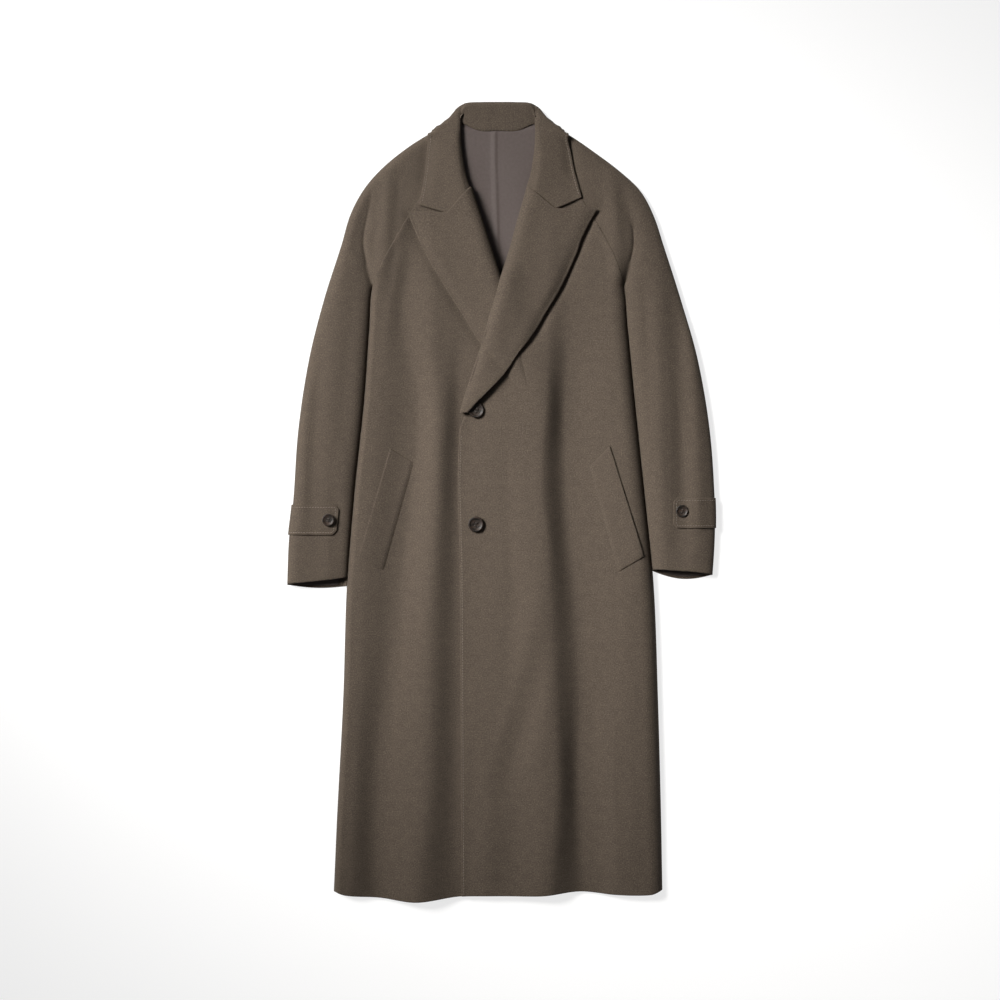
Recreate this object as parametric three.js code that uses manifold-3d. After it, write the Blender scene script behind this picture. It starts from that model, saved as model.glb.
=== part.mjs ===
import * as THREE from 'three';
import { mergeVertices } from 'three/addons/utils/BufferGeometryUtils.js';
import Module from 'manifold-3d';

// A long coat with raglan sleeves and peak lapels, buttoned and laid on its back on a table.
// Millimetres: x runs across toward the wearer's left, y toward the collar, z up off the table.
// Right and left are the wearer's; the left front laps over the right one.

// Cloth and the air between its layers
const WALL = 2.6;
const FOLDED_WALL = 3.4; // lapels and collar are two cloths thick
const LINING_WALL = 1.2;
const SEAM_GAP = 0.3;
const LAYER_GAP = 1;
const ROLL_RADIUS = LAYER_GAP + FOLDED_WALL + WALL / 2;

// Places along the length
const HEM_Y = -632;
const ARMPIT_Y = 342;
const SEAM_TOP_Y = 549;
const CLOSE_OVER = 42; // length above the armpit in which the two tubes join
const BREAK_Y = { right: 150, left: 126 }; // where each lapel starts to roll
const NECK_X = -4;
const COLLAR_LIFT = 5; // the fall lies under the back, which rests on it

// Side edges of the laid tubes
const EDGE_RADIUS = 16;
const EDGE_STEPS = [0, 2.1, 8, 16]; // distances in from a side edge, at 0, 30, 60 and 90 degrees of its round
const EDGE_DIP = 0.5; // share of the crown's height that an upper cloth falls where body and sleeve meet
const SIDE_CLEAR = 0.4; // what is left under the front where its side comes down to the table
const SIDE_FALL = 70; // length below the armpit in which the side comes down

const CLOTH = 0x64584e;
const LINING = 0x635a55;
const HORN = 0x2a1f19;

// Tables of named columns, each row a place from the collar down to the hem
const table = (columns, ...rows) => rows.map(
  (row) => Object.fromEntries(columns.map((column, k) => [column, row[k]])),
);

// Edge between body and sleeve: raglan seam down to the armpit, then the body's side
const BODY_EDGE = table(
  ['y', 'right', 'left'],
  [602, -62, 55], [575, -73, 72], [549, -86, 86], [520, -104, 103], [482, -128, 128],
  [448, -150, 150], [402, -176, 175], [379, -188, 185], [342, -205, 197], [273, -211, 204],
  [161, -219, 215], [17, -234, 230], [-135, -246, 245], [-319, -252, 252], [-511, -262, 257],
  [-632, -267, 259],
);

// Outer edge of shoulder and sleeve
const SLEEVE_EDGE = table(
  ['y', 'right', 'left'],
  [603, -74, 66], [597, -92, 84], [585, -117, 109], [561, -155, 146], [529, -193, 189],
  [497, -220, 223], [457, -241, 245], [409, -255, 261], [321, -283, 289], [225, -307, 316],
  [113, -324, 335], [1, -332, 343], [-63, -339, 343], [-140, -342, 338],
);

// Visible front edges: the roll of the lapel above its break, the free edge below
const FRONT_EDGE = table(
  ['y', 'right', 'left'],
  [601, -63, 51], [543, -59, 54], [494, -47, 43], [442, -30, 28], [404, -18, 18], [349, 0, 1],
  [298, 15, -14], [241, 31, -30], [158, 55, -57], [126, 55, -64], [28, 54, -68], [-95, 54, -65],
  [-632, 54, -62],
);

const HEM = table(
  ['x', 'y'],
  [259, -624], [240, -630], [180, -630], [125, -626], [60, -631], [-60, -633], [-135, -641],
  [-192, -636], [-248, -631], [-264, -626],
);

// Crease that goes on from each armpit toward the shoulder, with its depth as a share of a closed edge
const CREASE = table(
  ['y', 'right', 'left', 'depth'],
  [530, -203, 200, 0], [480, -208, 205, 0.25], [417, -219, 213, 0.5], [380, -214, 207, 0.65],
  [342, -205, 197, 1],
);

// Height of the laid coat before its folds
const LOFT = table(
  ['y', 'height'],
  [603, 16], [549, 17.5], [480, 19], [342, 22], [0, 21], [-400, 20], [-632, 18],
);

// Soft folds of the upper cloth; bow is how far the middle strays from the straight line
const FOLDS = table(
  ['name', 'topY', 'topX', 'endY', 'endX', 'bow', 'height', 'halfWidth'],
  ['right side hollow', 400, -146, -760, -205, 14, -5.5, 42],
  ['right front ridge', 340, -104, -760, -142, 14, 5, 36],
  ['front edge hollow', 190, -66, -760, -60, 0, -3.5, 34],
  ['left front ridge', 220, 66, -760, 70, 14, 4.5, 44],
  ['left side hollow', 340, 106, -760, 138, 4, -6, 38],
  ['left side ridge', 290, 192, -760, 212, 14, 4, 36],
  ['slanting ridge', -70, 58, -440, -12, 12, 3, 28],
  ['slanting hollow', -200, 88, -520, -26, 8, -3, 28],
  ['right chest ridge', 560, -178, 300, -198, 4, 3.5, 22],
  ['left chest ridge', 560, 176, 300, 188, 0, 3, 22],
  ['right sleeve ridge', 470, -232, -260, -282, -14, 3.5, 34],
  ['left sleeve ridge', 440, 246, -260, 276, 0, 3, 24],
  ['left sleeve hollow', 360, 276, -260, 302, 6, -4, 22],
);

const mix = (a, b, t) => a + (b - a) * t;
const clamp = (t) => Math.min(Math.max(t, 0), 1);
const ease = (t) => clamp(t) ** 2 * (3 - 2 * clamp(t));
const signOf = (side) => (side === 'left' ? 1 : -1);
const sideOf = (x) => (x < 0 ? 'right' : 'left');

// Smooth curve through one column of a table, read at a place along another column
function read(rows, place, column, key = 'y') {
  const last = rows.length - 1;
  if (place >= rows[0][key]) return rows[0][column];
  if (place <= rows[last][key]) return rows[last][column];
  const k = rows.findIndex((row, n) => n < last && place >= rows[n + 1][key]);
  const slope = (n) => {
    const above = rows[Math.max(n - 1, 0)];
    const below = rows[Math.min(n + 1, last)];
    return (above[column] - below[column]) / (above[key] - below[key]);
  };
  const span = rows[k + 1][key] - rows[k][key];
  const t = (place - rows[k][key]) / span;
  return (2 * t ** 3 - 3 * t ** 2 + 1) * rows[k][column]
    + (t ** 3 - 2 * t ** 2 + t) * span * slope(k)
    + (3 * t ** 2 - 2 * t ** 3) * rows[k + 1][column]
    + (t ** 3 - t ** 2) * span * slope(k + 1);
}

// Height that one fold adds: a raised cosine across it, eased in at its two ends
function foldHeight(fold, x, y) {
  const t = (y - fold.topY) / (fold.endY - fold.topY);
  const across = Math.abs(x - mix(fold.topX, fold.endX, t) - fold.bow * 4 * t * (1 - t)) / fold.halfWidth;
  if (across > 1) return 0;
  return fold.height * (0.5 + 0.5 * Math.cos(Math.PI * across)) * ease(t / 0.15) * ease((1 - t) / 0.12);
}

// Upper cloth's height with its folds, before any edge is rounded
function crown(x, y) {
  return FOLDS.reduce((height, fold) => height + foldHeight(fold, x, y), read(LOFT, y, 'height'));
}

// Share of an edge's quarter ellipse that is reached at a distance in from the edge
const rise = (distance) => Math.sqrt(1 - (1 - clamp(distance / EDGE_RADIUS)) ** 2);

// How fully the sleeve and the body are separate tubes: 1 below the armpit, 0 further up
const parted = (y) => ease((ARMPIT_Y + CLOSE_OVER - y) / CLOSE_OVER);

// Signed distance from the crease, or from a tube's own edge below the armpit
function fromCrease(x, y, edgeX) {
  return x - (y > ARMPIT_Y + 0.5 ? read(CREASE, y, sideOf(x)) : edgeX);
}

// Share of the crown's height that a front falls at its side: as far as a sleeve does above the armpit, and
// down onto the back a little below it
function sideDip(x, y) {
  return mix(EDGE_DIP, 1 - (WALL + SIDE_CLEAR) / crown(x, y), ease((ARMPIT_Y - y) / SIDE_FALL));
}

// One point of an upper cloth with its inner face. towardSeam points in plan at the edge between body and
// sleeve, and toOuter is the distance from the sleeve's outer edge.
function upperPoint(x, y, edgeX, towardSeam, toOuter = Infinity, lift = 0, seamDip = EDGE_DIP) {
  const beside = fromCrease(x, y, edgeX);
  const creaseRise = rise(Math.abs(beside));
  const depth = read(CREASE, y, 'depth');
  const height = crown(x, y);
  const dip = seamDip * depth * (1 - creaseRise) + EDGE_DIP * (1 - rise(toOuter));
  const seam = dip >= 0.49 ? SEAM_GAP / 2 : 0;
  const pastCrease = Math.abs(beside) > 0.01 && Math.sign(beside) === Math.sign(towardSeam.x);
  const leanIn = parted(y) * Math.sqrt(1 - creaseRise ** 2) * (pastCrease ? -1 : 1);
  const leanOut = Math.sqrt(1 - rise(toOuter) ** 2);
  const flat = towardSeam.clone().multiplyScalar(THREE.MathUtils.clamp(leanOut - leanIn, -1, 1));
  const down = Math.sqrt(Math.max(1 - flat.lengthSq(), 0));
  const outer = new THREE.Vector3(x, y, height * (1 - dip) + seam + lift);
  const inner = outer.clone().add(new THREE.Vector3(flat.x * WALL, flat.y * WALL, -down * WALL));
  return { outer, inner };
}

// Height of the under cloth's lower face: the table, or the collar's fall behind the neck
function floorHeight(x, y) {
  return COLLAR_LIFT * ease((y - 520) / 20) * ease((165 - Math.abs(x - NECK_X)) / 30);
}

// One point of an under cloth; its edges turn up to meet the upper cloth halfway
function underPoint(x, y, toSeam, towardSeam, toOuter = Infinity) {
  const floor = floorHeight(x, y);
  const turnedIn = parted(y) * (1 - rise(toSeam));
  const turnedOut = 1 - rise(toOuter);
  const turned = Math.min(turnedIn + turnedOut, 1);
  const seam = turned >= 0.98 ? SEAM_GAP / 2 : 0;
  const leanIn = parted(y) * Math.sqrt(1 - rise(toSeam) ** 2);
  const leanOut = Math.sqrt(1 - rise(toOuter) ** 2);
  const flat = towardSeam.clone().multiplyScalar(leanOut - leanIn);
  const up = Math.sqrt(Math.max(1 - flat.lengthSq(), 0));
  const outer = new THREE.Vector3(x, y, mix(floor, crown(x, y) / 2, turned) - seam);
  const inner = outer.clone().add(new THREE.Vector3(flat.x * WALL, flat.y * WALL, up * WALL));
  return { outer, inner };
}

// Closed wall between the outer and inner faces of a grid of points
function wall(name, colour, grid) {
  const rows = grid.length;
  const columns = grid[0].length;
  const points = [...grid.flat().map((p) => p.outer), ...grid.flat().map((p) => p.inner)];
  const outer = (i, j) => i * columns + j;
  const inner = (i, j) => rows * columns + outer(i, j);
  const faces = [];
  const quad = (a, b, c, d) => faces.push(a, b, c, a, c, d);
  for (let i = 0; i < rows - 1; i += 1) {
    for (let j = 0; j < columns - 1; j += 1) {
      quad(outer(i, j), outer(i + 1, j), outer(i + 1, j + 1), outer(i, j + 1));
      quad(inner(i, j), inner(i, j + 1), inner(i + 1, j + 1), inner(i + 1, j));
    }
    quad(outer(i, 0), inner(i, 0), inner(i + 1, 0), outer(i + 1, 0));
    quad(outer(i + 1, columns - 1), inner(i + 1, columns - 1), inner(i, columns - 1), outer(i, columns - 1));
  }
  for (let j = 0; j < columns - 1; j += 1) {
    quad(outer(0, j + 1), inner(0, j + 1), inner(0, j), outer(0, j));
    quad(outer(rows - 1, j), inner(rows - 1, j), inner(rows - 1, j + 1), outer(rows - 1, j + 1));
  }
  return meshOf(name, colour, points, faces);
}

// Mesh of points and faces, turned right side out where its volume comes out negative
function meshOf(name, colour, points, faces) {
  let volume = 0;
  for (let k = 0; k < faces.length; k += 3) {
    const [a, b, c] = [points[faces[k]], points[faces[k + 1]], points[faces[k + 2]]];
    volume += a.dot(b.clone().cross(c));
  }
  const geometry = new THREE.BufferGeometry().setFromPoints(points);
  geometry.setIndex(volume < 0 ? faces.toReversed() : faces);
  geometry.computeVertexNormals();
  const mesh = new THREE.Mesh(
    geometry,
    new THREE.MeshStandardMaterial({ color: colour, roughness: colour === HORN ? 0.4 : 0.9 }),
  );
  mesh.name = name;
  mesh.updateMatrixWorld();
  return mesh;
}

// Grid of outer points given its inner points, square to the cloth and one thickness in
function thicken(outerPoints, thickness, inwardHint) {
  return outerPoints.map((row, i) => row.map((point, j) => {
    const above = outerPoints[Math.max(i - 1, 0)][j];
    const below = outerPoints[Math.min(i + 1, outerPoints.length - 1)][j];
    const before = row[Math.max(j - 1, 0)];
    const after = row[Math.min(j + 1, row.length - 1)];
    const normal = below.clone().sub(above).cross(after.clone().sub(before)).normalize();
    return { outer: point, inner: point.clone().addScaledVector(normal, thickness * inwardHint) };
  }));
}

// Height of the cloth that lies under a place, found straight down onto its meshes; reach takes the highest
// of the places that far to either side too
function heightOn(meshes, x, y, reach = 0) {
  const heights = [-reach, 0, reach].map((beside) => {
    const above = new THREE.Vector3(x + beside, y, 200);
    const hits = new THREE.Raycaster(above, new THREE.Vector3(0, 0, -1)).intersectObjects(meshes);
    return hits.length ? hits[0].point.z : 0;
  });
  return Math.max(...heights) || crown(x, y);
}

// Side stations of both fronts, from the top of the raglan seam to the hem
const UPPER_STATIONS = [549, 522, 494, 466, 438, 410, 384, 362];
const LOWER_STATIONS = [
  342, 305, 270, 235, 200, 165, 126, 80, 30, -20, -70, -125, -180, -235, -295, -355, -415, -475, -535, -590,
  HEM_Y,
];
const BACK_STATIONS = [602, 572, 543, 511, 478, 446, 412, 378];

const evenly = (from, to, count) => Array.from({ length: count }, (_, k) => mix(from, to, (k + 1) / count));

// Front edge of the cloth itself, set back from the visible roll where the lapel wraps it
function clothEdge(side, y) {
  const back = ROLL_RADIUS * ease((y - BREAK_Y[side]) / 28 + 0.5);
  return read(FRONT_EDGE, y, side) + signOf(side) * back;
}

// How far the left front is lifted by the right front and the right lapel under it
function lapLift(x, y) {
  const under = clothEdge('right', y);
  const onFront = ease((under + 30 - x) / 26) * ease((400 - y) / 40);
  const lapelOuter = read(LAPEL.right, Math.min(y, 349), 'outerX', 'rollY');
  const onLapel = ease((under + 46 - x) / 34) * ease((x - lapelOuter + 36) / 30)
    * ease((y - 116) / 36) * ease((400 - y) / 40);
  return (WALL + LAYER_GAP) * onFront + (FOLDED_WALL + LAYER_GAP) * onLapel;
}

// Each front is a fan of rows from its side to its front edge, sharing the places where they overlap
function front(name, side) {
  const sign = signOf(side);
  const rows = [...UPPER_STATIONS, ...LOWER_STATIONS].map((y) => {
    const frontY = y > 410 ? mix(410, 507, (y - 410) / (SEAM_TOP_Y - 410)) : y;
    const edgeX = read(BODY_EDGE, y, side) - sign * SEAM_GAP * 0.8;
    const frontX = clothEdge(side, frontY);
    const otherX = clothEdge(side === 'left' ? 'right' : 'left', frontY);
    const meetX = sign > 0 ? Math.max(otherX, frontX + 24) : Math.min(otherX, frontX - 24);
    const places = [
      ...EDGE_STEPS.map((step) => edgeX - sign * step),
      ...evenly(edgeX - sign * EDGE_RADIUS, meetX, 6),
      ...evenly(meetX, frontX, 4),
    ];
    if (side === 'left') places.reverse();
    return places.map((x) => {
      const slantedY = mix(y, frontY, clamp((x - edgeX) / (frontX - edgeX)));
      const placeY = y === HEM_Y ? read(HEM, x, 'y', 'x') : slantedY;
      const lift = side === 'left' ? lapLift(x, placeY) : 0;
      const seamDip = sideDip(edgeX - sign * EDGE_RADIUS, placeY);
      return upperPoint(x, placeY, edgeX, new THREE.Vector2(sign, 0), Infinity, lift, seamDip);
    });
  });
  return wall(name, CLOTH, rows);
}

function back() {
  const rows = [...BACK_STATIONS, ...LOWER_STATIONS].map((y) => {
    const rightX = read(BODY_EDGE, y, 'right') + SEAM_GAP * 0.8;
    const leftX = read(BODY_EDGE, y, 'left') - SEAM_GAP * 0.8;
    return [rightX, ...evenly(rightX, leftX, 11)].map((x) => {
      const neckDip = y === BACK_STATIONS[0] ? 11 * (1 - ((x - NECK_X) / 59) ** 2) : 0;
      const placeY = y === HEM_Y ? read(HEM, x, 'y', 'x') : y - neckDip;
      return underPoint(x, placeY, Infinity, new THREE.Vector2(1, 0));
    });
  });
  return wall('back', CLOTH, rows);
}

// Rows of both halves of a sleeve: each joins a place on its outer edge to one on its inner edge
const SLEEVE_ROWS = table(
  ['outerY', 'frontY', 'backY'],
  [603, 549, 602], [597, 522, 572], [585, 494, 543], [566, 466, 511], [540, 438, 478],
  [505, 410, 446], [462, 384, 412], [412, 362, 378], [368, 342, 342], [312, 300, 300],
  [255, 250, 250], [200, 200, 200], [150, 150, 150], [100, 100, 100], [50, 50, 50], [4, 4, 4],
  [-44, -44, -44], [-88, -88, -88],
);
const CUFF = {
  right: { outerY: -133, frontY: -123, backOuterY: -139, backY: -135 },
  left: { outerY: -118, frontY: -110, backOuterY: -121, backY: -121 },
};

// Places from the outer to the inner edge of a sleeve row, close together where its edges turn. A row
// shorter than both rounds is the same shape drawn in.
function sleeveSteps(length) {
  const drawn = Math.max(length, EDGE_RADIUS * 2.4);
  const middle = evenly(EDGE_RADIUS, drawn - EDGE_RADIUS, 5).slice(0, -1);
  const steps = [...EDGE_STEPS, ...middle, ...EDGE_STEPS.map((step) => drawn - step).reverse()];
  return steps.map((step) => ({ along: step * length / drawn, toOuter: step, toSeam: drawn - step }));
}

function sleeveGrid(side, half) {
  const sign = signOf(side);
  const key = half === 'front' ? 'frontY' : 'backY';
  const cuff = CUFF[side];
  const cuffRow = { outerY: half === 'front' ? cuff.outerY : cuff.backOuterY, [key]: cuff[key] };
  return [...SLEEVE_ROWS, cuffRow].map((row) => {
    const innerY = row[key];
    const start = new THREE.Vector2(read(SLEEVE_EDGE, row.outerY, side), row.outerY);
    const edgeX = read(BODY_EDGE, innerY, side) + sign * SEAM_GAP * 0.8;
    const run = new THREE.Vector2(edgeX, innerY).sub(start);
    const towardSeam = run.clone().normalize();
    return sleeveSteps(run.length()).map(({ along, toOuter, toSeam }) => {
      const place = start.clone().addScaledVector(towardSeam, along);
      if (half === 'front') return upperPoint(place.x, place.y, edgeX, towardSeam, toOuter);
      return underPoint(place.x, place.y, toSeam, towardSeam, toOuter);
    });
  });
}

// Lapels: each row runs from the roll to the outer edge. Bend drops the notch below the straight line, and
// loose lifts the roll near its break, where the lapel passes over the upper button.
const LAPEL = {
  right: table(
    ['rollY', 'outerX', 'outerY', 'bend', 'loose'],
    [499, -149, 459, 19, 0], [476, -138, 436, 9, 0], [446, -124, 405, 0, 0], [418, -113, 383, 0, 0],
    [386, -99, 359, 0, 0], [352, -84, 334, 0, 0], [320, -67, 308, 0, 0], [288, -49, 280, 0, 0],
    [256, -32, 252, 0, 0], [224, -8, 222, 0, 0], [190, 19, 190, 0, 0], [162, 44, 162, 0, 0],
  ),
  left: table(
    ['rollY', 'outerX', 'outerY', 'bend', 'loose'],
    [499, 151, 464, 19, 0], [472, 138, 440, 9, 0], [446, 127, 415, 0, 0], [418, 121, 396, 0, 0],
    [386, 111, 373, 0, 0], [352, 98, 346, 0, 0.3], [322, 86, 324, 0, 0.3], [290, 72, 301, 0, 0],
    [258, 52, 268, 0, 0], [226, 28, 235, 0, 0], [194, 3, 199, 0, 1], [164, -32, 163, 0, 4],
    [140, -53, 142, 0, 4.2],
  ),
};
const NOTCH_SHARE = 0.4; // place of the notch along a lapel's top edge
const HOOK_TURNS = [62, 30, 0]; // degrees above level at which the roll's round is drawn

// How far round the roll reaches under the cloth's edge; where that edge lies on cloth it stops early
const hookEnd = (side, y) => mix(-4, -58, side === 'right' ? 1 : ease((y - 372) / 30));

function lapel(name, side, under) {
  const sign = signOf(side);
  const points = LAPEL[side].map((row) => {
    const rollX = clothEdge(side, row.rollY);
    const rollTop = heightOn(under, rollX + sign * 0.5, row.rollY, 5);
    const centreZ = rollTop - WALL / 2 + row.loose;
    const hook = [hookEnd(side, row.rollY), ...HOOK_TURNS.toReversed()].map((turn) => {
      const angle = THREE.MathUtils.degToRad(turn);
      return new THREE.Vector3(
        rollX - sign * ROLL_RADIUS * Math.cos(angle),
        row.rollY,
        centreZ + ROLL_RADIUS * Math.sin(angle),
      );
    });
    const flat = [0, 0.13, 0.26, NOTCH_SHARE, 0.6, 0.8, 1].map((share) => {
      const x = mix(rollX, row.outerX, share);
      const dip = share < NOTCH_SHARE ? share / NOTCH_SHARE : (1 - share) / (1 - NOTCH_SHARE);
      const y = mix(row.rollY, row.outerY, share) - row.bend * dip;
      return new THREE.Vector3(x, y, heightOn(under, x + sign * 0.5, y, 9) + LAYER_GAP + FOLDED_WALL + row.loose);
    });
    return [...hook, ...flat];
  });
  return wall(name, CLOTH, thicken(points, FOLDED_WALL, -sign));
}

// Half of the collar from the front corner to the centre back; out is measured from the neck's middle.
// aim and turn are degrees: where the roll points in plan, and how far its outside has gone under.
const COLLAR_ROWS = table(
  ['rollOut', 'rollY', 'aim', 'turn', 'base', 'foldOut', 'foldY', 'edgeOut', 'edgeY', 'bend'],
  [46, 502, 0, 0, 0.12, 0, 0, 125, 474, 17],
  [51, 520, 0, 0, 0.45, 0, 0, 120, 499, 6],
  [55, 542, 0, 0, 0.85, 0, 0, 116, 526, 0],
  [58, 566, 0, 0, 1.3, 0, 0, 113, 556, 0],
  [59, 584, 6, 8, 1.6, 0, 0, 111, 578, 0],
  [59, 592, 10, 15, 1.7, 0, 0, 113, 589, 0],
  [59, 597, 14, 24, 1.78, 115, 595, 115, 593, 0],
  [59, 600, 18, 32, 1.83, 109, 598, 106, 586, 0],
  [59, 604, 24, 42, 1.88, 102, 602, 102, 574, 0],
  [58, 614, 35, 70, 2.05, 88, 609, 92, 562, 0],
  [56, 625, 55, 110, 2.5, 72, 619, 76, 554, 0],
  [50, 633, 75, 150, 3.0, 57, 631, 56, 549, 0],
  [26, 637, 90, 180, 3.5, 0, 0, 28, 546, 0],
  [0, 638, 90, 180, 4, 0, 0, 0, 545, 0],
);
const CORNER_SHIFT = { right: { out: 0, y: 0 }, left: { out: 8, y: 11 } };

// Neckline of one side: front edge, seam top, shoulder, top of the back seam and centre back
function neckline(side) {
  const x = (column, y) => read(column, y, side);
  return [
    new THREE.Vector2(clothEdge(side, 507), 508),
    new THREE.Vector2(x(BODY_EDGE, SEAM_TOP_Y), SEAM_TOP_Y),
    new THREE.Vector2(x(SLEEVE_EDGE, 603), 603),
    new THREE.Vector2(x(BODY_EDGE, 602), 602),
    new THREE.Vector2(NECK_X, 591),
  ];
}

// Centre line, outward direction and edges of every collar row on one side
function collarFrames(side) {
  const sign = signOf(side);
  const shift = CORNER_SHIFT[side];
  const neck = neckline(side);
  return COLLAR_ROWS.map((row, n) => {
    const aim = THREE.MathUtils.degToRad(row.aim);
    const turn = THREE.MathUtils.degToRad(row.turn);
    const v = new THREE.Vector3(-sign * Math.cos(aim), Math.sin(aim), 0);
    const away = new THREE.Vector3(sign * Math.sin(aim), Math.cos(aim), 0);
    const n3 = new THREE.Vector3(0, 0, Math.cos(turn)).addScaledVector(away, Math.sin(turn));
    const tip = new THREE.Vector3(NECK_X + sign * row.rollOut, row.rollY, 0);
    const centre = tip.clone().addScaledVector(v, -ROLL_RADIUS);
    const upper = crown(centre.x, centre.y) - WALL / 2;
    centre.z = mix(upper, ROLL_RADIUS, ease(row.turn / 180));
    const segment = Math.min(Math.floor(row.base), 3);
    const foot = neck[segment].clone().lerp(neck[segment + 1], row.base - segment);
    const base = new THREE.Vector3(foot.x, foot.y, 0);
    base.addScaledVector(v, 1.6);
    base.z = mix(crown(base.x, base.y) - WALL / 2, COLLAR_LIFT + WALL / 2, ease((row.base - 1) / 2));
    const fade = clamp(1 - n / 4);
    const edge = new THREE.Vector3(
      NECK_X + sign * (row.edgeOut + shift.out * fade),
      row.edgeY + shift.y * fade,
      0,
    );
    const fold = new THREE.Vector3(NECK_X + sign * row.foldOut, row.foldY, 0);
    return { row, v, n: n3, centre, base, edge, fold, sign };
  });
}

// Outer points of one collar row: round the roll, then over the coat or back under it
function fallRow(frame) {
  const { row, v, n, centre, edge, fold } = frame;
  const hook = [-58, 0, 45].map((degrees) => {
    const angle = THREE.MathUtils.degToRad(degrees);
    return centre.clone()
      .addScaledVector(v, ROLL_RADIUS * Math.cos(angle))
      .addScaledVector(n, ROLL_RADIUS * Math.sin(angle));
  });
  const start = centre.clone().addScaledVector(n, ROLL_RADIUS);
  const leafSteps = 9;
  if (row.turn >= 180) return [...hook, start, ...evenly(0, 1, leafSteps).map((t) => start.clone().lerp(edge, t))];
  if (row.foldOut === 0) {
    const leaf = evenly(0, 1, leafSteps).map((share) => {
      const place = start.clone().lerp(edge, share);
      const dip = share < 0.45 ? share / 0.45 : (1 - share) / 0.55;
      place.y -= row.bend * dip;
      place.z = crown(place.x, place.y) + LAYER_GAP + FOLDED_WALL;
      return place;
    });
    return [...hook, start, ...leaf];
  }
  const top = mix(crown(fold.x, fold.y) + LAYER_GAP + FOLDED_WALL, start.z, ease(row.turn / 70));
  const turnIn = Math.min(9, fold.distanceTo(new THREE.Vector3(start.x, start.y, 0)) * 0.6);
  const towardRoll = new THREE.Vector3(start.x - fold.x, start.y - fold.y, 0).normalize();
  const towardEdge = edge.clone().sub(fold).normalize();
  const underLength = fold.distanceTo(edge);
  const under = underLength < 5 ? [] : [
    fold.clone().addScaledVector(towardEdge, turnIn * 0.35).setZ(top * 0.16),
    fold.clone().addScaledVector(towardEdge, Math.min(turnIn * 1.3, underLength * 0.8)),
    edge,
  ];
  const path = new THREE.CatmullRomCurve3([
    start,
    fold.clone().addScaledVector(towardRoll, turnIn).setZ(mix(start.z, top, 0.5) * 0.96),
    fold.clone().addScaledVector(towardRoll, turnIn * 0.25).setZ(top * 0.74),
    fold.clone().setZ(top * 0.45),
    ...under,
  ], false, 'centripetal');
  const leaf = path.getSpacedPoints(leafSteps);
  for (const point of leaf) point.z = Math.max(point.z, 0);
  return [...hook, ...leaf];
}

// All rows of the collar, from the right corner round the neck to the left one
function roundTheNeck(makeRow) {
  const right = collarFrames('right').map(makeRow);
  const left = collarFrames('left').map(makeRow);
  return [...right, ...left.slice(0, -1).reverse()];
}

function collarFall() {
  const points = roundTheNeck(fallRow);
  return wall('collar_fall', CLOTH, thicken(points, FOLDED_WALL, -1));
}

// At the sides of the neck, where the roll turns over, the stand stops short of it and lies closer to the neck
const STAND_SHORT = 0.95;
const STAND_INSET = 1.5;

function collarStand() {
  const grid = roundTheNeck((frame) => [0, 0.35, 0.7, 1].map((share) => {
    const twisting = Math.sin(THREE.MathUtils.degToRad(frame.row.turn));
    const middle = frame.base.clone().lerp(frame.centre, share * (1 - STAND_SHORT * twisting));
    middle.addScaledVector(frame.n, STAND_INSET * twisting);
    return {
      outer: middle.clone().addScaledVector(frame.n, WALL / 2),
      inner: middle.clone().addScaledVector(frame.n, -WALL / 2),
    };
  }));
  return wall('collar_stand', CLOTH, grid);
}

// Welts of the slanted pockets: corners at the top outside, top inside, bottom inside, bottom outside
const WELT = {
  right: table(['x', 'y'], [-176, 83], [-139, 60], [-187, -113], [-226, -88]),
  left: table(['x', 'y'], [174, 87], [142, 54], [187, -114], [229, -89]),
};
const WELT_RISE = 2.2;

function welt(name, side, under) {
  const [a, b, c, d] = WELT[side].map((corner) => new THREE.Vector2(corner.x, corner.y));
  const grid = [0, ...evenly(0, 1, 9)].map((down) => [0, ...evenly(0, 1, 4)].map((across) => {
    const place = a.clone().lerp(d, down).lerp(b.clone().lerp(c, down), across);
    const z = heightOn(under, place.x, place.y, 4) + LAYER_GAP * 0.6;
    return {
      outer: new THREE.Vector3(place.x, place.y, z + WELT_RISE),
      inner: new THREE.Vector3(place.x, place.y, z),
    };
  }));
  return wall(name, CLOTH, grid);
}

// Cuff straps lie on the sleeve's own points; start and end are places along its columns
const STRAP = {
  right: { topY: -7, endY: -55, from: 1, to: 9 },
  left: { topY: 4, endY: -44, from: 1, to: 7.6 },
};
const STRAP_RISE = 2;

function cuffStrap(name, side, sleeve) {
  const strap = STRAP[side];
  const steps = [];
  for (let j = strap.from; j < strap.to; j += 1) steps.push(j);
  steps.push(strap.to);
  const onSleeve = (y, j) => {
    const i = sleeve.findIndex((row, n) => n + 1 < sleeve.length && sleeve[n + 1][4].outer.y <= y);
    const share = (y - sleeve[i][4].outer.y) / (sleeve[i + 1][4].outer.y - sleeve[i][4].outer.y);
    const at = (row) => {
      const k = Math.min(Math.floor(j), row.length - 2);
      const pick = (face) => row[k][face].clone().lerp(row[k + 1][face], j - k);
      return { outer: pick('outer'), inner: pick('inner') };
    };
    const above = at(sleeve[i]);
    const below = at(sleeve[i + 1]);
    const skin = above.outer.lerp(below.outer, share);
    const out = skin.clone().sub(above.inner.lerp(below.inner, share)).normalize();
    return {
      outer: skin.clone().addScaledVector(out, LAYER_GAP * 0.6 + STRAP_RISE),
      inner: skin.clone().addScaledVector(out, LAYER_GAP * 0.6),
    };
  };
  const stops = sleeve.map((row) => row[4].outer.y).filter((y) => y < strap.topY - 1 && y > strap.endY + 1);
  const grid = [strap.topY, ...stops, strap.endY].map((y) => steps.map((j) => onSleeve(y, j)));
  return wall(name, CLOTH, grid);
}

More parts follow.
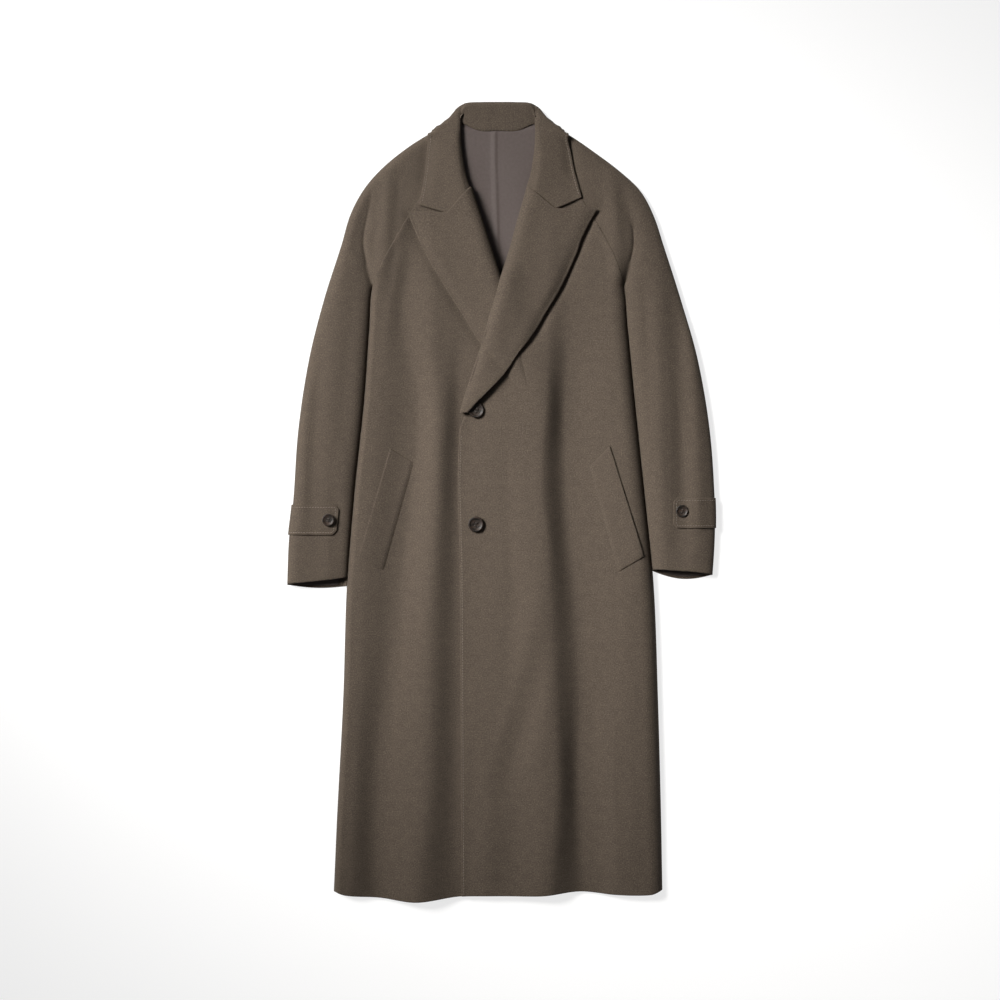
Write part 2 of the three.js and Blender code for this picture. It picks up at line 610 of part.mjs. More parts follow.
// Lining of the back in the neck opening, with the pleat's fold standing a little proud
const LINING_ROWS = table(
  ['y', 'half', 'pleatX', 'curve'],
  [588, 52, -6, 7.5], [572, 60, -6, 0], [543, 70, -6, 0], [511, 74, -5, 0], [446, 66, -3, 0], [378, 50, -1, 0],
  [335, 40, 0, 0],
);
const PLEAT = table(['out', 'proud'], [-12, 0], [-5, 1.6], [-4, 0.1], [12, 0]);

function backLining() {
  const grid = LINING_ROWS.map((row) => {
    const places = [
      { x: NECK_X - row.half, proud: 0 },
      ...PLEAT.map((fold) => ({ x: row.pleatX + fold.out, proud: fold.proud })),
      { x: NECK_X + row.half, proud: 0 },
    ];
    return places.map(({ x, proud }) => {
      const y = row.y + row.curve * ((x - NECK_X) / row.half) ** 2;
      const z = floorHeight(x, y) + WALL + LAYER_GAP + proud;
      return { outer: new THREE.Vector3(x, y, z + LINING_WALL), inner: new THREE.Vector3(x, y, z) };
    });
  });
  return wall('lining_back', LINING, grid);
}

const wasm = await Module();
wasm.setup();

// A closed three.js geometry as a solid that can be cut
function solidOf(geometry) {
  const bare = geometry.clone();
  bare.deleteAttribute('normal');
  bare.deleteAttribute('uv');
  const merged = mergeVertices(bare);
  return new wasm.Manifold(new wasm.Mesh({
    numProp: 3,
    vertProperties: new Float32Array(merged.attributes.position.array),
    triVerts: new Uint32Array(merged.index.array),
  }));
}

// Horn button: a turned disc with a raised rim, a dished middle and four thread holes
function button(name, radius, x, y, under) {
  const thick = radius * 0.3;
  const profile = [
    [0, 0], [radius * 0.82, 0], [radius, thick * 0.35], [radius, thick * 0.7], [radius * 0.9, thick],
    [radius * 0.74, thick * 0.9], [radius * 0.62, thick * 0.62], [0, thick * 0.55],
  ].map(([across, up]) => new THREE.Vector2(across, up));
  const holeRadius = radius * 0.085;
  let solid = solidOf(new THREE.LatheGeometry(profile, 28));
  for (const [across, along] of [[1, 1], [-1, 1], [-1, -1], [1, -1]]) {
    const hole = new THREE.CylinderGeometry(holeRadius, holeRadius, thick * 4, 8);
    hole.translate(across * radius * 0.2, 0, along * radius * 0.2);
    solid = solid.subtract(solidOf(hole));
  }
  const cut = solid.getMesh();
  const geometry = new THREE.BufferGeometry();
  geometry.setAttribute('position', new THREE.BufferAttribute(new Float32Array(cut.vertProperties), 3));
  geometry.setIndex([...cut.triVerts]);
  const mesh = new THREE.Mesh(geometry, new THREE.MeshStandardMaterial({ color: HORN, roughness: 0.4 }));
  const around = evenly(0, Math.PI * 2, 8).map((angle) => [Math.cos(angle) * radius, Math.sin(angle) * radius]);
  const seat = Math.max(...around.map(([dx, dy]) => heightOn(under, x + dx, y + dy)));
  mesh.name = name;
  mesh.rotation.x = Math.PI / 2;
  mesh.position.set(x, y, seat + SEAM_GAP * 1.5);
  return mesh;
}

const coat = new THREE.Group();
const frontRight = front('front_right', 'right');
const frontLeft = front('front_left', 'left');
const sleeveGrids = { right: sleeveGrid('right', 'front'), left: sleeveGrid('left', 'front') };
const sleeveRight = wall('sleeve_front_right', CLOTH, sleeveGrids.right);
const sleeveLeft = wall('sleeve_front_left', CLOTH, sleeveGrids.left);
const lapelLeft = lapel('lapel_left', 'left', [frontLeft, sleeveLeft]);
const strapRight = cuffStrap('cuff_strap_right', 'right', sleeveGrids.right);
const strapLeft = cuffStrap('cuff_strap_left', 'left', sleeveGrids.left);

coat.add(
  back(),
  frontRight,
  frontLeft,
  sleeveRight,
  sleeveLeft,
  wall('sleeve_back_right', CLOTH, sleeveGrid('right', 'back')),
  wall('sleeve_back_left', CLOTH, sleeveGrid('left', 'back')),
  lapel('lapel_right', 'right', [frontRight, sleeveRight]),
  lapelLeft,
  collarStand(),
  collarFall(),
  backLining(),
  welt('welt_right', 'right', [frontRight]),
  welt('welt_left', 'left', [frontLeft]),
  strapRight,
  strapLeft,
  button('front_button_upper', 12.5, -38.6, 144, [frontLeft]),
  button('front_button_lower', 12.5, -39.5, -38, [frontLeft]),
  button('cuff_button_right', 10, -274.7, -31, [strapRight]),
  button('cuff_button_left', 10, 289.4, -17, [strapLeft]),
);

export default coat;
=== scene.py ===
import math
from collections import namedtuple

import bpy
import numpy as np
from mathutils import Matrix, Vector


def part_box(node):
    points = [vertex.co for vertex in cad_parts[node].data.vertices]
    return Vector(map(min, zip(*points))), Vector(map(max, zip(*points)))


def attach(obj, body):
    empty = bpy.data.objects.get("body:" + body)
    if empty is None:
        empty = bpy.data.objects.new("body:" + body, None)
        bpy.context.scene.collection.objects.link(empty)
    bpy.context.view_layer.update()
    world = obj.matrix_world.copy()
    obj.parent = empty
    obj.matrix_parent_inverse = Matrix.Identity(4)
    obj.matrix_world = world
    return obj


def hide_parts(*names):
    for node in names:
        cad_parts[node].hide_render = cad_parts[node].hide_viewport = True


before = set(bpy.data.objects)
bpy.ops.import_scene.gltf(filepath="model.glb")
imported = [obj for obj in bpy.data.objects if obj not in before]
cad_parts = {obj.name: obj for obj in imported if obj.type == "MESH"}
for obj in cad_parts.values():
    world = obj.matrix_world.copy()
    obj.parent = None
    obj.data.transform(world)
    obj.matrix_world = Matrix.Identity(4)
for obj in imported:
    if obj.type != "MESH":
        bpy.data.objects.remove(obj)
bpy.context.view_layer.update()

# The table and the light. The coat lies on its back on a white table and is seen from straight above.
# One broad soft light stands low beyond its right shoulder, and a pale room fills the shadows.
FRAME_WIDTH = 1.6
FRAME_CENTRE = (-0.0010, 0.0008)
LENS = 85.0
FILM = 36.0
CLOTH_LEVEL = 0.012
TABLE_SIZE = 14.0
TABLE_COLOUR = (0.25, 0.25, 0.25)
TABLE_GLOW = 0.76
LAMP_PLACE = (-1.8, 1.1, 1.95)
LAMP_AIM = (0.0, 0.08, 0.0)
LAMP_SIZE = 1.6
LAMP_SPREAD = math.radians(31)
LAMP_POWER = 17.4
ROOM_LIGHT = 0.11

camera_data = bpy.data.cameras.new("camera")
camera_data.lens = LENS
camera_data.sensor_width = FILM
camera = bpy.data.objects.new("camera", camera_data)
camera.location = (*FRAME_CENTRE, CLOTH_LEVEL + FRAME_WIDTH * LENS / FILM)
bpy.context.collection.objects.link(camera)
bpy.context.scene.camera = camera
bpy.context.scene.view_settings.view_transform = "Standard"

lamp_data = bpy.data.lights.new("soft lamp", "AREA")
lamp_data.shape = "DISK"
lamp_data.size = LAMP_SIZE
lamp_data.spread = LAMP_SPREAD
lamp_data.energy = LAMP_POWER
lamp_data.color = (1.0, 0.985, 0.96)
lamp = bpy.data.objects.new("soft lamp", lamp_data)
lamp.location = LAMP_PLACE
lamp.rotation_euler = (Vector(LAMP_PLACE) - Vector(LAMP_AIM)).to_track_quat("Z", "Y").to_euler()
bpy.context.collection.objects.link(lamp)

room = bpy.data.worlds.new("pale room")
room.use_nodes = True
room.node_tree.nodes["Background"].inputs["Color"].default_value = (1.0, 1.0, 1.0, 1.0)
room.node_tree.nodes["Background"].inputs["Strength"].default_value = ROOM_LIGHT
bpy.context.scene.world = room

table_mesh = bpy.data.meshes.new("table")
half_table = TABLE_SIZE / 2
table_mesh.from_pydata(
    [(-half_table, -half_table, 0), (half_table, -half_table, 0), (half_table, half_table, 0),
     (-half_table, half_table, 0)], [], [(0, 1, 2, 3)])
table_top = bpy.data.objects.new("table", table_mesh)
bpy.context.collection.objects.link(table_top)
table_paint = bpy.data.materials.new("white table")
table_paint.use_nodes = True
table_shader = table_paint.node_tree.nodes["Principled BSDF"]
table_shader.inputs["Base Color"].default_value = (*TABLE_COLOUR, 1.0)
table_shader.inputs["Roughness"].default_value = 0.7
table_shader.inputs["Emission Color"].default_value = (1.0, 1.0, 1.0, 1.0)
table_shader.inputs["Emission Strength"].default_value = TABLE_GLOW
table_mesh.materials.append(table_paint)

# The two fronts of the coat, cut from a thick melange wool coating in grey-brown. The wearer's left one
# laps over the right one, and their side edges turn down to meet the back. Millimetres from here on:
# x toward the wearer's left, y toward the collar, z up off the table.
MM = 0.001
WALL = 2.6
FOLDED_WALL = 3.4
LAYER_GAP = 1.0
SEAM_GAP = -1.0
ROLL_RADIUS = LAYER_GAP + FOLDED_WALL + WALL / 2
HEM_Y = -632.0
ARMPIT_Y = 342.0
SEAM_TOP_Y = 549.0
CLOSE_OVER = 42.0
BREAK_Y = {"right": 150.0, "left": 126.0}
BODY_RADIUS = {"right": 12.0, "left": 24.0}
SLEEVE_RADIUS = 24.0
OUTER_RADIUS = {"right": 18.0, "left": 46.0}
SEAM_DIP = 0.6
SIDE_LEVEL = 3.0
RAGLAN_STEP = 0.9
SIGN = {"right": -1.0, "left": 1.0}
FOLD_STRENGTH = 1.5
VALLEY_DEPTH = 3.4
VALLEY_WIDTH = 11.0


def table(columns, *rows):
    """Rows of numbers as one array for each named column, in rising order of the first column."""
    return dict(zip(columns.split(), np.array(sorted(rows), float).T))


BODY_EDGE = table(
    "y right left",
    (602, -62, 55), (575, -73, 72), (549, -86, 86), (520, -104, 103), (482, -128, 128), (448, -150, 150),
    (402, -176, 175), (379, -188, 185), (342, -205, 197), (273, -211, 204), (161, -219, 215), (17, -234, 230),
    (-135, -246, 245), (-319, -252, 252), (-511, -262, 257), (-632, -267, 259))
FRONT_EDGE = table(
    "y right left",
    (601, -63, 51), (543, -59, 54), (494, -47, 43), (442, -30, 28), (404, -18, 18), (349, 0, 1), (298, 15, -14),
    (241, 31, -30), (158, 55, -57), (126, 55, -64), (28, 54, -68), (-95, 54, -65), (-632, 54, -62))
HEM = table(
    "x y",
    (259, -624), (240, -630), (180, -630), (125, -626), (60, -631), (-60, -633), (-135, -641), (-192, -636),
    (-248, -631), (-264, -626))
CREASE = table(
    "y right left depth",
    (530, -203, 200, 0), (480, -208, 205, 0.25), (417, -219, 213, 0.5), (380, -214, 207, 0.65),
    (342, -205, 197, 1))
LOFT = table("y height", (603, 16), (549, 17.5), (480, 19), (342, 22), (0, 21), (-400, 20), (-632, 18))

# Long folds that hang from shoulder to hem: where each lies across the coat, and how high it stands
FOLD_PLACES = table(
    "y side_crest side_hollow crest edge_hollow flat left_crest left_hollow left_side_crest",
    (480, -166, -132, -106, -66, 0, 74, 112, 190), (417, -167, -139, -108, -66, 0, 74, 112, 191),
    (289, -183, -156, -110, -66, 4, 72, 112, 193), (161, -203, -136, -100, -66, 6, 71, 104, 199),
    (33, -214, -143, -101, -66, 6, 62, 106, 210), (-63, -222, -156, -106, -66, 8, 72, 113, 217),
    (-255, -228, -178, -114, -66, 10, 79, 129, 216), (-447, -237, -197, -117, -66, 12, 88, 127, 213),
    (-632, -243, -198, -130, -66, 10, 76, 135, 210))
FOLD_HEIGHTS = table(
    "y side_crest side_hollow crest edge_hollow flat left_crest left_hollow left_side_crest",
    (480, 0, -0.5, 0, 0, 0, 0, -0.5, 0), (417, 0.5, -2, 0, 0, 0, 0.5, -1, 0.5),
    (289, 1, -3, 2, -1, 0.5, 1.5, -3, 1), (161, 1.5, -4.5, 5, -2, 0.5, 3.5, -5.5, 2.5),
    (33, 2, -5, 6, -2.5, 0.5, 4.5, -6, 3), (-63, 2, -5, 6, -2.5, 0, 5, -6, 3.5),
    (-255, 2, -5, 6.5, -3, 0, 5.5, -6, 3.5), (-447, 2, -5.5, 6.5, -3, -0.5, 6, -6.5, 3.5),
    (-632, 2, -6, 7, -3, -0.5, 6, -7, 3))

# Short slanting folds: from top to end, with the sideways bow of the middle
Fold = namedtuple("Fold", "top_y top_x end_y end_x bow height half_width")
SHORT_FOLDS = [
    Fold(-70, 58, -440, -10, 14, 1.8, 32), Fold(-160, 84, -540, -30, 10, -1.9, 34),
    Fold(330, -66, 60, -84, -6, 1.4, 22), Fold(110, 24, -170, 30, 6, 1.2, 26),
    Fold(560, -178, 300, -198, 4, 3.5, 20), Fold(560, 176, 300, 188, 0, 3.0, 20),
    Fold(470, -232, -60, -276, -14, 3.5, 34), Fold(250, -300, -120, -318, -6, 2.0, 20),
    Fold(440, 246, -160, 262, 0, 3.0, 22), Fold(400, 272, -120, 288, 10, -4.5, 22),
    Fold(360, 296, -150, 314, 8, 2.0, 16), Fold(40, -262, -180, -258, 0, -2.0, 18),
    Fold(500, -196, 380, -238, -4, -1.6, 22), Fold(520, 176, 400, 226, 6, -1.4, 24),
    Fold(-360, -20, -760, -34, 4, 1.8, 30), Fold(-300, 172, -760, 176, 6, 1.5, 22),
]
# Shallow valleys in which the pressed edges of lapels and collar lie
VALLEYS = [
    table("y x", (190, 19), (252, -32), (308, -67), (359, -99), (405, -124), (461, -146)),
    table("y x", (228, 23), (260, 52), (301, 72), (346, 98), (396, 121), (466, 154)),
    table("y x", (480, -128), (526, -120), (582, -116)), table("y x", (492, 122), (526, 113), (582, 108)),
]
RIPPLE = table(
    "angle length height phase",
    (8, 118, 0.22, 0.4), (34, 83, 0.16, 2.1), (71, 151, 0.25, 4.0), (112, 67, 0.12, 1.3), (150, 97, 0.18, 5.2),
    (171, 54, 0.10, 3.3))


def through(at, values, where):
    """Smooth curve through values at the places at: cubic Hermite spans, each slope that of the chord
    between its two neighbours. values may hold points along its first axis."""
    where = np.clip(where, at[0], at[-1])
    span = np.clip(np.searchsorted(at, where, side="right") - 1, 0, len(at) - 2)
    wide = (slice(None),) + (None,) * (values.ndim - 1)
    slope = np.empty_like(values)
    slope[0] = (values[1] - values[0]) / (at[1] - at[0])
    slope[-1] = (values[-1] - values[-2]) / (at[-1] - at[-2])
    slope[1:-1] = (values[2:] - values[:-2]) / (at[2:] - at[:-2])[wide]
    t = (where - at[span]) / (at[span + 1] - at[span])
    length = at[span + 1] - at[span]
    spread = (Ellipsis,) + (None,) * (values.ndim - 1)
    t = t[spread]
    length = length[spread]
    return ((2 * t**3 - 3 * t**2 + 1) * values[span] + (t**3 - 2 * t**2 + t) * length * slope[span]
            + (3 * t**2 - 2 * t**3) * values[span + 1] + (t**3 - t**2) * length * slope[span + 1])


def read(rows, column, place):
    """One column of a table along its first column, as the smooth curve through its rows."""
    key = next(iter(rows))
    return through(rows[key], rows[column], np.asarray(place, float))


def ease(t):
    """0 below 0 and 1 above 1, with the smooth step 3t^2 - 2t^3 between."""
    t = np.clip(t, 0, 1)
    return t * t * (3 - 2 * t)


def mix(a, b, t):
    """Straight blend from a at 0 to b at 1."""
    return a + (b - a) * t


def rise(distance, radius):
    """Share of an edge's quarter ellipse reached at a distance in: sqrt(1 - (1 - d / R)^2)."""
    return np.sqrt(1 - (1 - np.clip(distance / radius, 0, 1)) ** 2)


def crown(x, y):
    """Height of the upper cloth: its loft, long folds as smooth steps from each crest or hollow to the
    next, short folds as raised cosines, valleys as bell curves, and a faint ripple of six sine waves."""
    height = read(LOFT, "height", y)
    names = list(FOLD_PLACES)[1:]
    places = [read(FOLD_PLACES, name, y) for name in names]
    heights = [
        read(FOLD_HEIGHTS, name, y) * (1 if name.endswith("side_crest") else FOLD_STRENGTH) for name in names]
    folds = heights[0]
    for k in range(len(names) - 1):
        folds = folds + (heights[k + 1] - heights[k]) * ease((x - places[k]) / (places[k + 1] - places[k]))
    height = height + folds
    for fold in SHORT_FOLDS:
        t = (y - fold.top_y) / (fold.end_y - fold.top_y)
        middle = mix(fold.top_x, fold.end_x, t) + fold.bow * 4 * t * (1 - t)
        across = np.clip(np.abs(x - middle) / fold.half_width, 0, 1)
        shape = 0.5 + 0.5 * np.cos(np.pi * across)
        height = height + fold.height * shape * ease(t / 0.3) * ease((1 - t) / 0.3)
    for valley in VALLEYS:
        aside = (x - read(valley, "x", y)) / VALLEY_WIDTH
        at_ends = ease((y - valley["y"][0] + 12) / 64) * ease((valley["y"][-1] + 12 - y) / 24)
        height = height - VALLEY_DEPTH * at_ends * np.exp(-aside**2)
    for angle, length, tall, phase in zip(*RIPPLE.values()):
        along = x * math.cos(math.radians(angle)) + y * math.sin(math.radians(angle))
        height = height + tall * np.sin(2 * np.pi * along / length + phase)
    return height


def upper_height(x, y, edge_x, side, to_outer=math.inf):
    """Upper cloth: the crown, drawn down in a quarter ellipse at the edge between body and sleeve, in the
    crease above the armpit, and at the sleeve's outer edge. Below the armpit the body's side comes down
    onto the back."""
    full = crown(x, y)
    crease_x = np.where(y > ARMPIT_Y + 0.5, read(CREASE, side, y), edge_x)
    on_sleeve = SIGN[side] * (x - crease_x) > 0
    radius = np.where(on_sleeve, SLEEVE_RADIUS, BODY_RADIUS[side])
    deepest = np.where(on_sleeve, SEAM_DIP, mix(SEAM_DIP, 1 - SIDE_LEVEL / full, ease((ARMPIT_Y - y) / 70)))
    at_crease = deepest * read(CREASE, "depth", y) * (1 - rise(np.abs(x - crease_x), radius))
    dip = np.maximum(at_crease, SEAM_DIP * (1 - rise(to_outer, OUTER_RADIUS[side])))
    return full * (1 - dip)


def cloth_edge(side, y):
    """Front edge of the cloth, set back from the visible roll where the lapel wraps round it."""
    return read(FRONT_EDGE, side, y) + SIGN[side] * ROLL_RADIUS * ease((y - BREAK_Y[side]) / 28 + 0.5)


def edge_steps(count, radius):
    """Distances in from a turned edge, evenly spaced round its quarter ellipse: R (1 - cos a)."""
    return radius * (1 - np.cos(np.linspace(0, np.pi / 2, count)))


def lap_lift(x, y):
    """Lift of the left front by the right front and the right lapel that lie under it."""
    under = cloth_edge("right", y)
    on_front = ease((under + 50 - x) / 46) * ease((400 - y) / 40)
    lapel_outer = read(LAPEL["right"], "outer_x", np.minimum(y, 349))
    on_lapel = (ease((under + 86 - x) / 80) * ease((x - lapel_outer + 100) / 90)
                * ease((y - 56) / 100) * ease((400 - y) / 40))
    return (WALL + LAYER_GAP) * on_front + (FOLDED_WALL + LAYER_GAP) * on_lapel


LAPEL = {
    "right": table(
        "roll_y outer_x outer_y bend loose",
        (499.5, -148.5, 461.5, 1, 0), (476, -138, 436, 0.45, 0), (446, -124, 405, 0, 0), (418, -113, 383, 0, 0),
        (386, -99, 359, 0, 0), (352, -84, 334, 0, 0), (320, -67, 308, 0, 0), (288, -49, 280, 0, 0),
        (256, -32, 252, 0, 0), (224, -8, 222, 0, 0), (190, 19, 190, 0, 0), (162, 44, 162, 0, 0)),
    "left": table(
        "roll_y outer_x outer_y bend loose",
        (499.5, 154, 466, 1, 0), (472, 139, 440, 0.45, 0), (446, 127, 415, 0, 0), (418, 121, 396, 0, 0),
        (386, 111, 373, 0, 0), (352, 98, 346, 0, 0), (322, 86, 324, 0, 0), (290, 72, 301, 0, 0),
        (258, 52, 268, 0, 0), (226, 28, 235, 0, 0), (194, 3, 199, 0, 1), (164, -32, 163, 0, 4),
        (140, -53, 142, 0, 4.2)),
}


def front_sheet(side):
    """Rows run from the side edge to the front edge, level below the armpit and slanting up above it, with
    z the upper height and the left front lifted over the right."""
    seam_y = np.linspace(SEAM_TOP_Y, HEM_Y, 380)[:, None]
    front_y = np.where(seam_y > 410, mix(410, 507, (seam_y - 410) / (SEAM_TOP_Y - 410)), seam_y)
    edge_x = read(BODY_EDGE, side, seam_y) - SIGN[side] * SEAM_GAP / 2
    front_x = cloth_edge(side, front_y)
    steps = edge_steps(12, BODY_RADIUS[side])
    shares = np.linspace(0, 1, 89)[None, 1:]
    turned_x = edge_x - SIGN[side] * steps[None, :]
    x = np.hstack([turned_x, mix(turned_x[:, -1:], front_x, shares)])
    y = mix(seam_y, front_y, np.clip((x - edge_x) / (front_x - edge_x), 0, 1))
    hem = ease((HEM_Y + 60 - seam_y) / 60)
    y = y + hem * (read(HEM, "y", x) - HEM_Y)
    z = upper_height(x, y, edge_x, side)
    z = z + RAGLAN_STEP * ease((14 - np.abs(x - edge_x)) / 12) * ease((y - ARMPIT_Y) / 20)
    if side == "left":
        z = z + lap_lift(x, y)
    return np.stack([x, y, z], axis=-1)


def unit(vectors):
    """Vectors brought to length one."""
    return vectors / np.maximum(np.linalg.norm(vectors, axis=-1, keepdims=True), 1e-9)


def cloth_mesh(name, sheet, thick, facing):
    """Closed cloth on an outer surface sheet[row, column]. The inner face lies thick below it along the
    surface's normal, facing times column run x row run, and a half round of thick / 2 joins the borders.
    Nothing sinks below the table, which is at height 0.
    The UV map is the run across and down the sheet in metres."""
    down = np.gradient(sheet, axis=0)
    across = np.gradient(sheet, axis=1)
    normal = facing * unit(np.cross(down, across))
    outward = np.zeros_like(sheet)
    outward[0] -= unit(down)[0]
    outward[-1] += unit(down)[-1]
    outward[:, 0] -= unit(across)[:, 0]
    outward[:, -1] += unit(across)[:, -1]
    outward = unit(outward)
    room_in = np.minimum(np.linalg.norm(down, axis=-1), np.linalg.norm(across, axis=-1))
    outer = sheet - outward * np.minimum(thick * 0.4, room_in * 0.45)[..., None]
    inner = outer - normal * thick
    rows, columns = sheet.shape[:2]
    index = np.arange(rows * columns).reshape(rows, columns)
    rim = np.concatenate([index[0, :-1], index[:-1, -1], index[-1, :0:-1], index[:0:-1, 0]])
    corners = np.stack([index[:-1, :-1], index[:-1, 1:], index[1:, 1:], index[1:, :-1]], axis=-1).reshape(-1, 4)
    faces = [corners, corners[:, ::-1] + rows * columns]
    points = [outer.reshape(-1, 3), inner.reshape(-1, 3)]
    rings = [rim]
    flat_normal = normal.reshape(-1, 3)[rim]
    flat_outward = outward.reshape(-1, 3)[rim]
    for turn in np.radians((36, 72, 108, 144)):
        drop = thick / 2 * (1 - math.cos(turn))
        reach = thick / 2 * math.sin(turn)
        rings.append(sum(len(p) for p in points) + np.arange(len(rim)))
        points.append(points[0][rim] - flat_normal * drop + flat_outward * reach)
    rings.append(rim + rows * columns)
    for upper, lower in zip(rings, rings[1:]):
        faces.append(np.stack([np.roll(upper, -1), upper, lower, np.roll(lower, -1)], axis=-1))
    run_across = np.zeros((rows, columns))
    run_across[:, 1:] = np.cumsum(np.linalg.norm(np.diff(sheet, axis=1), axis=-1), axis=1)
    run_across -= run_across[:, columns // 2, None]
    run_down = np.zeros((rows, columns))
    run_down[1:] = np.cumsum(np.linalg.norm(np.diff(sheet, axis=0), axis=-1), axis=0)
    run_down = np.broadcast_to(run_down[:, columns // 2, None], (rows, columns))
    cut = np.stack([run_across, run_down], axis=-1).reshape(-1, 2) * MM
    cut = np.concatenate([cut, cut] + [cut[rim]] * (len(rings) - 2))
    points = np.concatenate(points)
    points[:, 2] = np.maximum(points[:, 2], 0)
    return named_mesh(name, points, np.concatenate(faces), cut)


def named_mesh(name, points, faces, cut=None):
    """Smooth mesh of four-sided faces in millimetres, turned right side out where its signed volume, a
    sixth of the sum of a . (b x c) over its triangles, is negative."""
    a, b, c, d = (points[faces[:, k]] for k in range(4))
    volume = np.einsum("ij,ij->", a, np.cross(b, c)) + np.einsum("ij,ij->", a, np.cross(c, d))
    if volume < 0:
        faces = faces[:, ::-1]
    mesh = bpy.data.meshes.new(name)
    mesh.from_pydata(points * MM, [], faces.tolist())
    mesh.polygons.foreach_set("use_smooth", np.ones(len(faces), bool))
    if cut is not None:
        layer = mesh.uv_layers.new(name="cut")
        layer.data.foreach_set("uv", cut[faces.ravel()].ravel())
    mesh.update()
    return mesh


def sewn_on(name, mesh, finish, node=None):
    """A finished piece: it rides on the coat's one body and stands for its solid, if it has one."""
    mesh.materials.append(finish)
    piece = bpy.data.objects.new(name, mesh)
    bpy.context.collection.objects.link(piece)
    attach(piece, "root")
    if node:
        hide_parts(node)
    return piece


def twill_group():
    """Shader group for a twill: slanting ribs of one pitch, broken up by fuzz. Gives the rib height and
    two masks of flecks, one for pale fibres and one for dark ones."""
    group = bpy.data.node_groups.new("twill", "ShaderNodeTree")
    put = group.interface.new_socket
    put("Cut", in_out="INPUT", socket_type="NodeSocketVector")
    for socket, value in (("Rib Pitch", 0.0016), ("Fleck Size", 0.0012)):
        put(socket, in_out="INPUT", socket_type="NodeSocketFloat").default_value = value
    for socket in ("Height", "Pale", "Dark", "Cloudy"):
        put(socket, in_out="OUTPUT", socket_type="NodeSocketFloat")
    nodes = group.nodes
    link = group.links.new
    start = nodes.new("NodeGroupInput")
    end = nodes.new("NodeGroupOutput")

    def maths(operation, *values):
        node = nodes.new("ShaderNodeMath")
        node.operation = operation
        for socket, value in zip(node.inputs, values):
            if isinstance(value, (int, float)):
                socket.default_value = value
            else:
                link(value, socket)
        return node.outputs[0]

    def noise(scale, detail, roughness):
        node = nodes.new("ShaderNodeTexNoise")
        link(start.outputs["Cut"], node.inputs["Vector"])
        node.inputs["Detail"].default_value = detail
        node.inputs["Roughness"].default_value = roughness
        link(scale, node.inputs["Scale"])
        return node.outputs["Fac"]

    def band(value, low, high):
        node = nodes.new("ShaderNodeMapRange")
        node.inputs["From Min"].default_value = low
        node.inputs["From Max"].default_value = high
        link(value, node.inputs["Value"])
        return node.outputs["Result"]

    split = nodes.new("ShaderNodeSeparateXYZ")
    link(start.outputs["Cut"], split.inputs[0])
    fleck_scale = maths("DIVIDE", 1.0, start.outputs["Fleck Size"])
    fuzz = noise(maths("MULTIPLY", fleck_scale, 1.7), 2.0, 0.7)
    slant = maths("ADD", split.outputs["X"], split.outputs["Y"])
    turns = maths("DIVIDE", slant, start.outputs["Rib Pitch"])
    wobbled = maths("ADD", turns, maths("MULTIPLY", fuzz, 0.9))
    ribs = maths("SINE", maths("MULTIPLY", wobbled, 2 * math.pi))
    height = maths("ADD", maths("MULTIPLY", ribs, 0.35), fuzz)
    grains = noise(fleck_scale, 3.0, 0.8)
    link(height, end.inputs["Height"])
    link(band(grains, 0.53, 0.68), end.inputs["Pale"])
    link(band(grains, 0.49, 0.36), end.inputs["Dark"])
    link(band(noise(maths("MULTIPLY", fleck_scale, 0.16), 3.0, 0.6), 0.35, 0.65), end.inputs["Cloudy"])
    return group


TWILL = twill_group()


def woven(name, colours, rib_pitch, fleck_size, flecks, bump, roughness, sheen):
    """Material of a twill: a ground colour, pale and dark flecks mixed in by shares, faint clouds and a
    bump of the ribs. colours are ground, pale and dark."""
    material = bpy.data.materials.new(name)
    material.use_nodes = True
    nodes = material.node_tree.nodes
    link = material.node_tree.links.new
    shader = nodes["Principled BSDF"]
    cut = nodes.new("ShaderNodeUVMap")
    cut.uv_map = "cut"
    twill = nodes.new("ShaderNodeGroup")
    twill.node_tree = TWILL
    twill.inputs["Rib Pitch"].default_value = rib_pitch
    twill.inputs["Fleck Size"].default_value = fleck_size
    link(cut.outputs["UV"], twill.inputs["Cut"])

    def blend(share, base, other):
        node = nodes.new("ShaderNodeMix")
        node.data_type = "RGBA"
        link(share, node.inputs["Factor"])
        for value, socket in ((base, node.inputs["A"]), (other, node.inputs["B"])):
            if isinstance(value, tuple):
                socket.default_value = (*value, 1.0)
            else:
                link(value, socket)
        return node.outputs["Result"]

    def share_of(mask, share):
        node = nodes.new("ShaderNodeMath")
        node.operation = "MULTIPLY"
        link(mask, node.inputs[0])
        node.inputs[1].default_value = share
        return node.outputs[0]

    ground, pale, dark = colours
    clouded = blend(share_of(twill.outputs["Cloudy"], 0.5), ground, tuple(0.72 * c for c in ground))
    with_pale = blend(share_of(twill.outputs["Pale"], flecks[0]), clouded, pale)
    with_dark = blend(share_of(twill.outputs["Dark"], flecks[1]), with_pale, dark)
    link(with_dark, shader.inputs["Base Color"])
    relief = nodes.new("ShaderNodeBump")
    relief.inputs["Strength"].default_value = bump
    relief.inputs["Distance"].default_value = 0.0004
    link(twill.outputs["Height"], relief.inputs["Height"])
    link(relief.outputs["Normal"], shader.inputs["Normal"])
    shader.inputs["Roughness"].default_value = roughness
    shader.inputs["Specular IOR Level"].default_value = 0.2
    shader.inputs["Sheen Weight"].default_value = sheen
    shader.inputs["Sheen Roughness"].default_value = 0.55
    shader.inputs["Sheen Tint"].default_value = (*pale, 1.0)
    return material


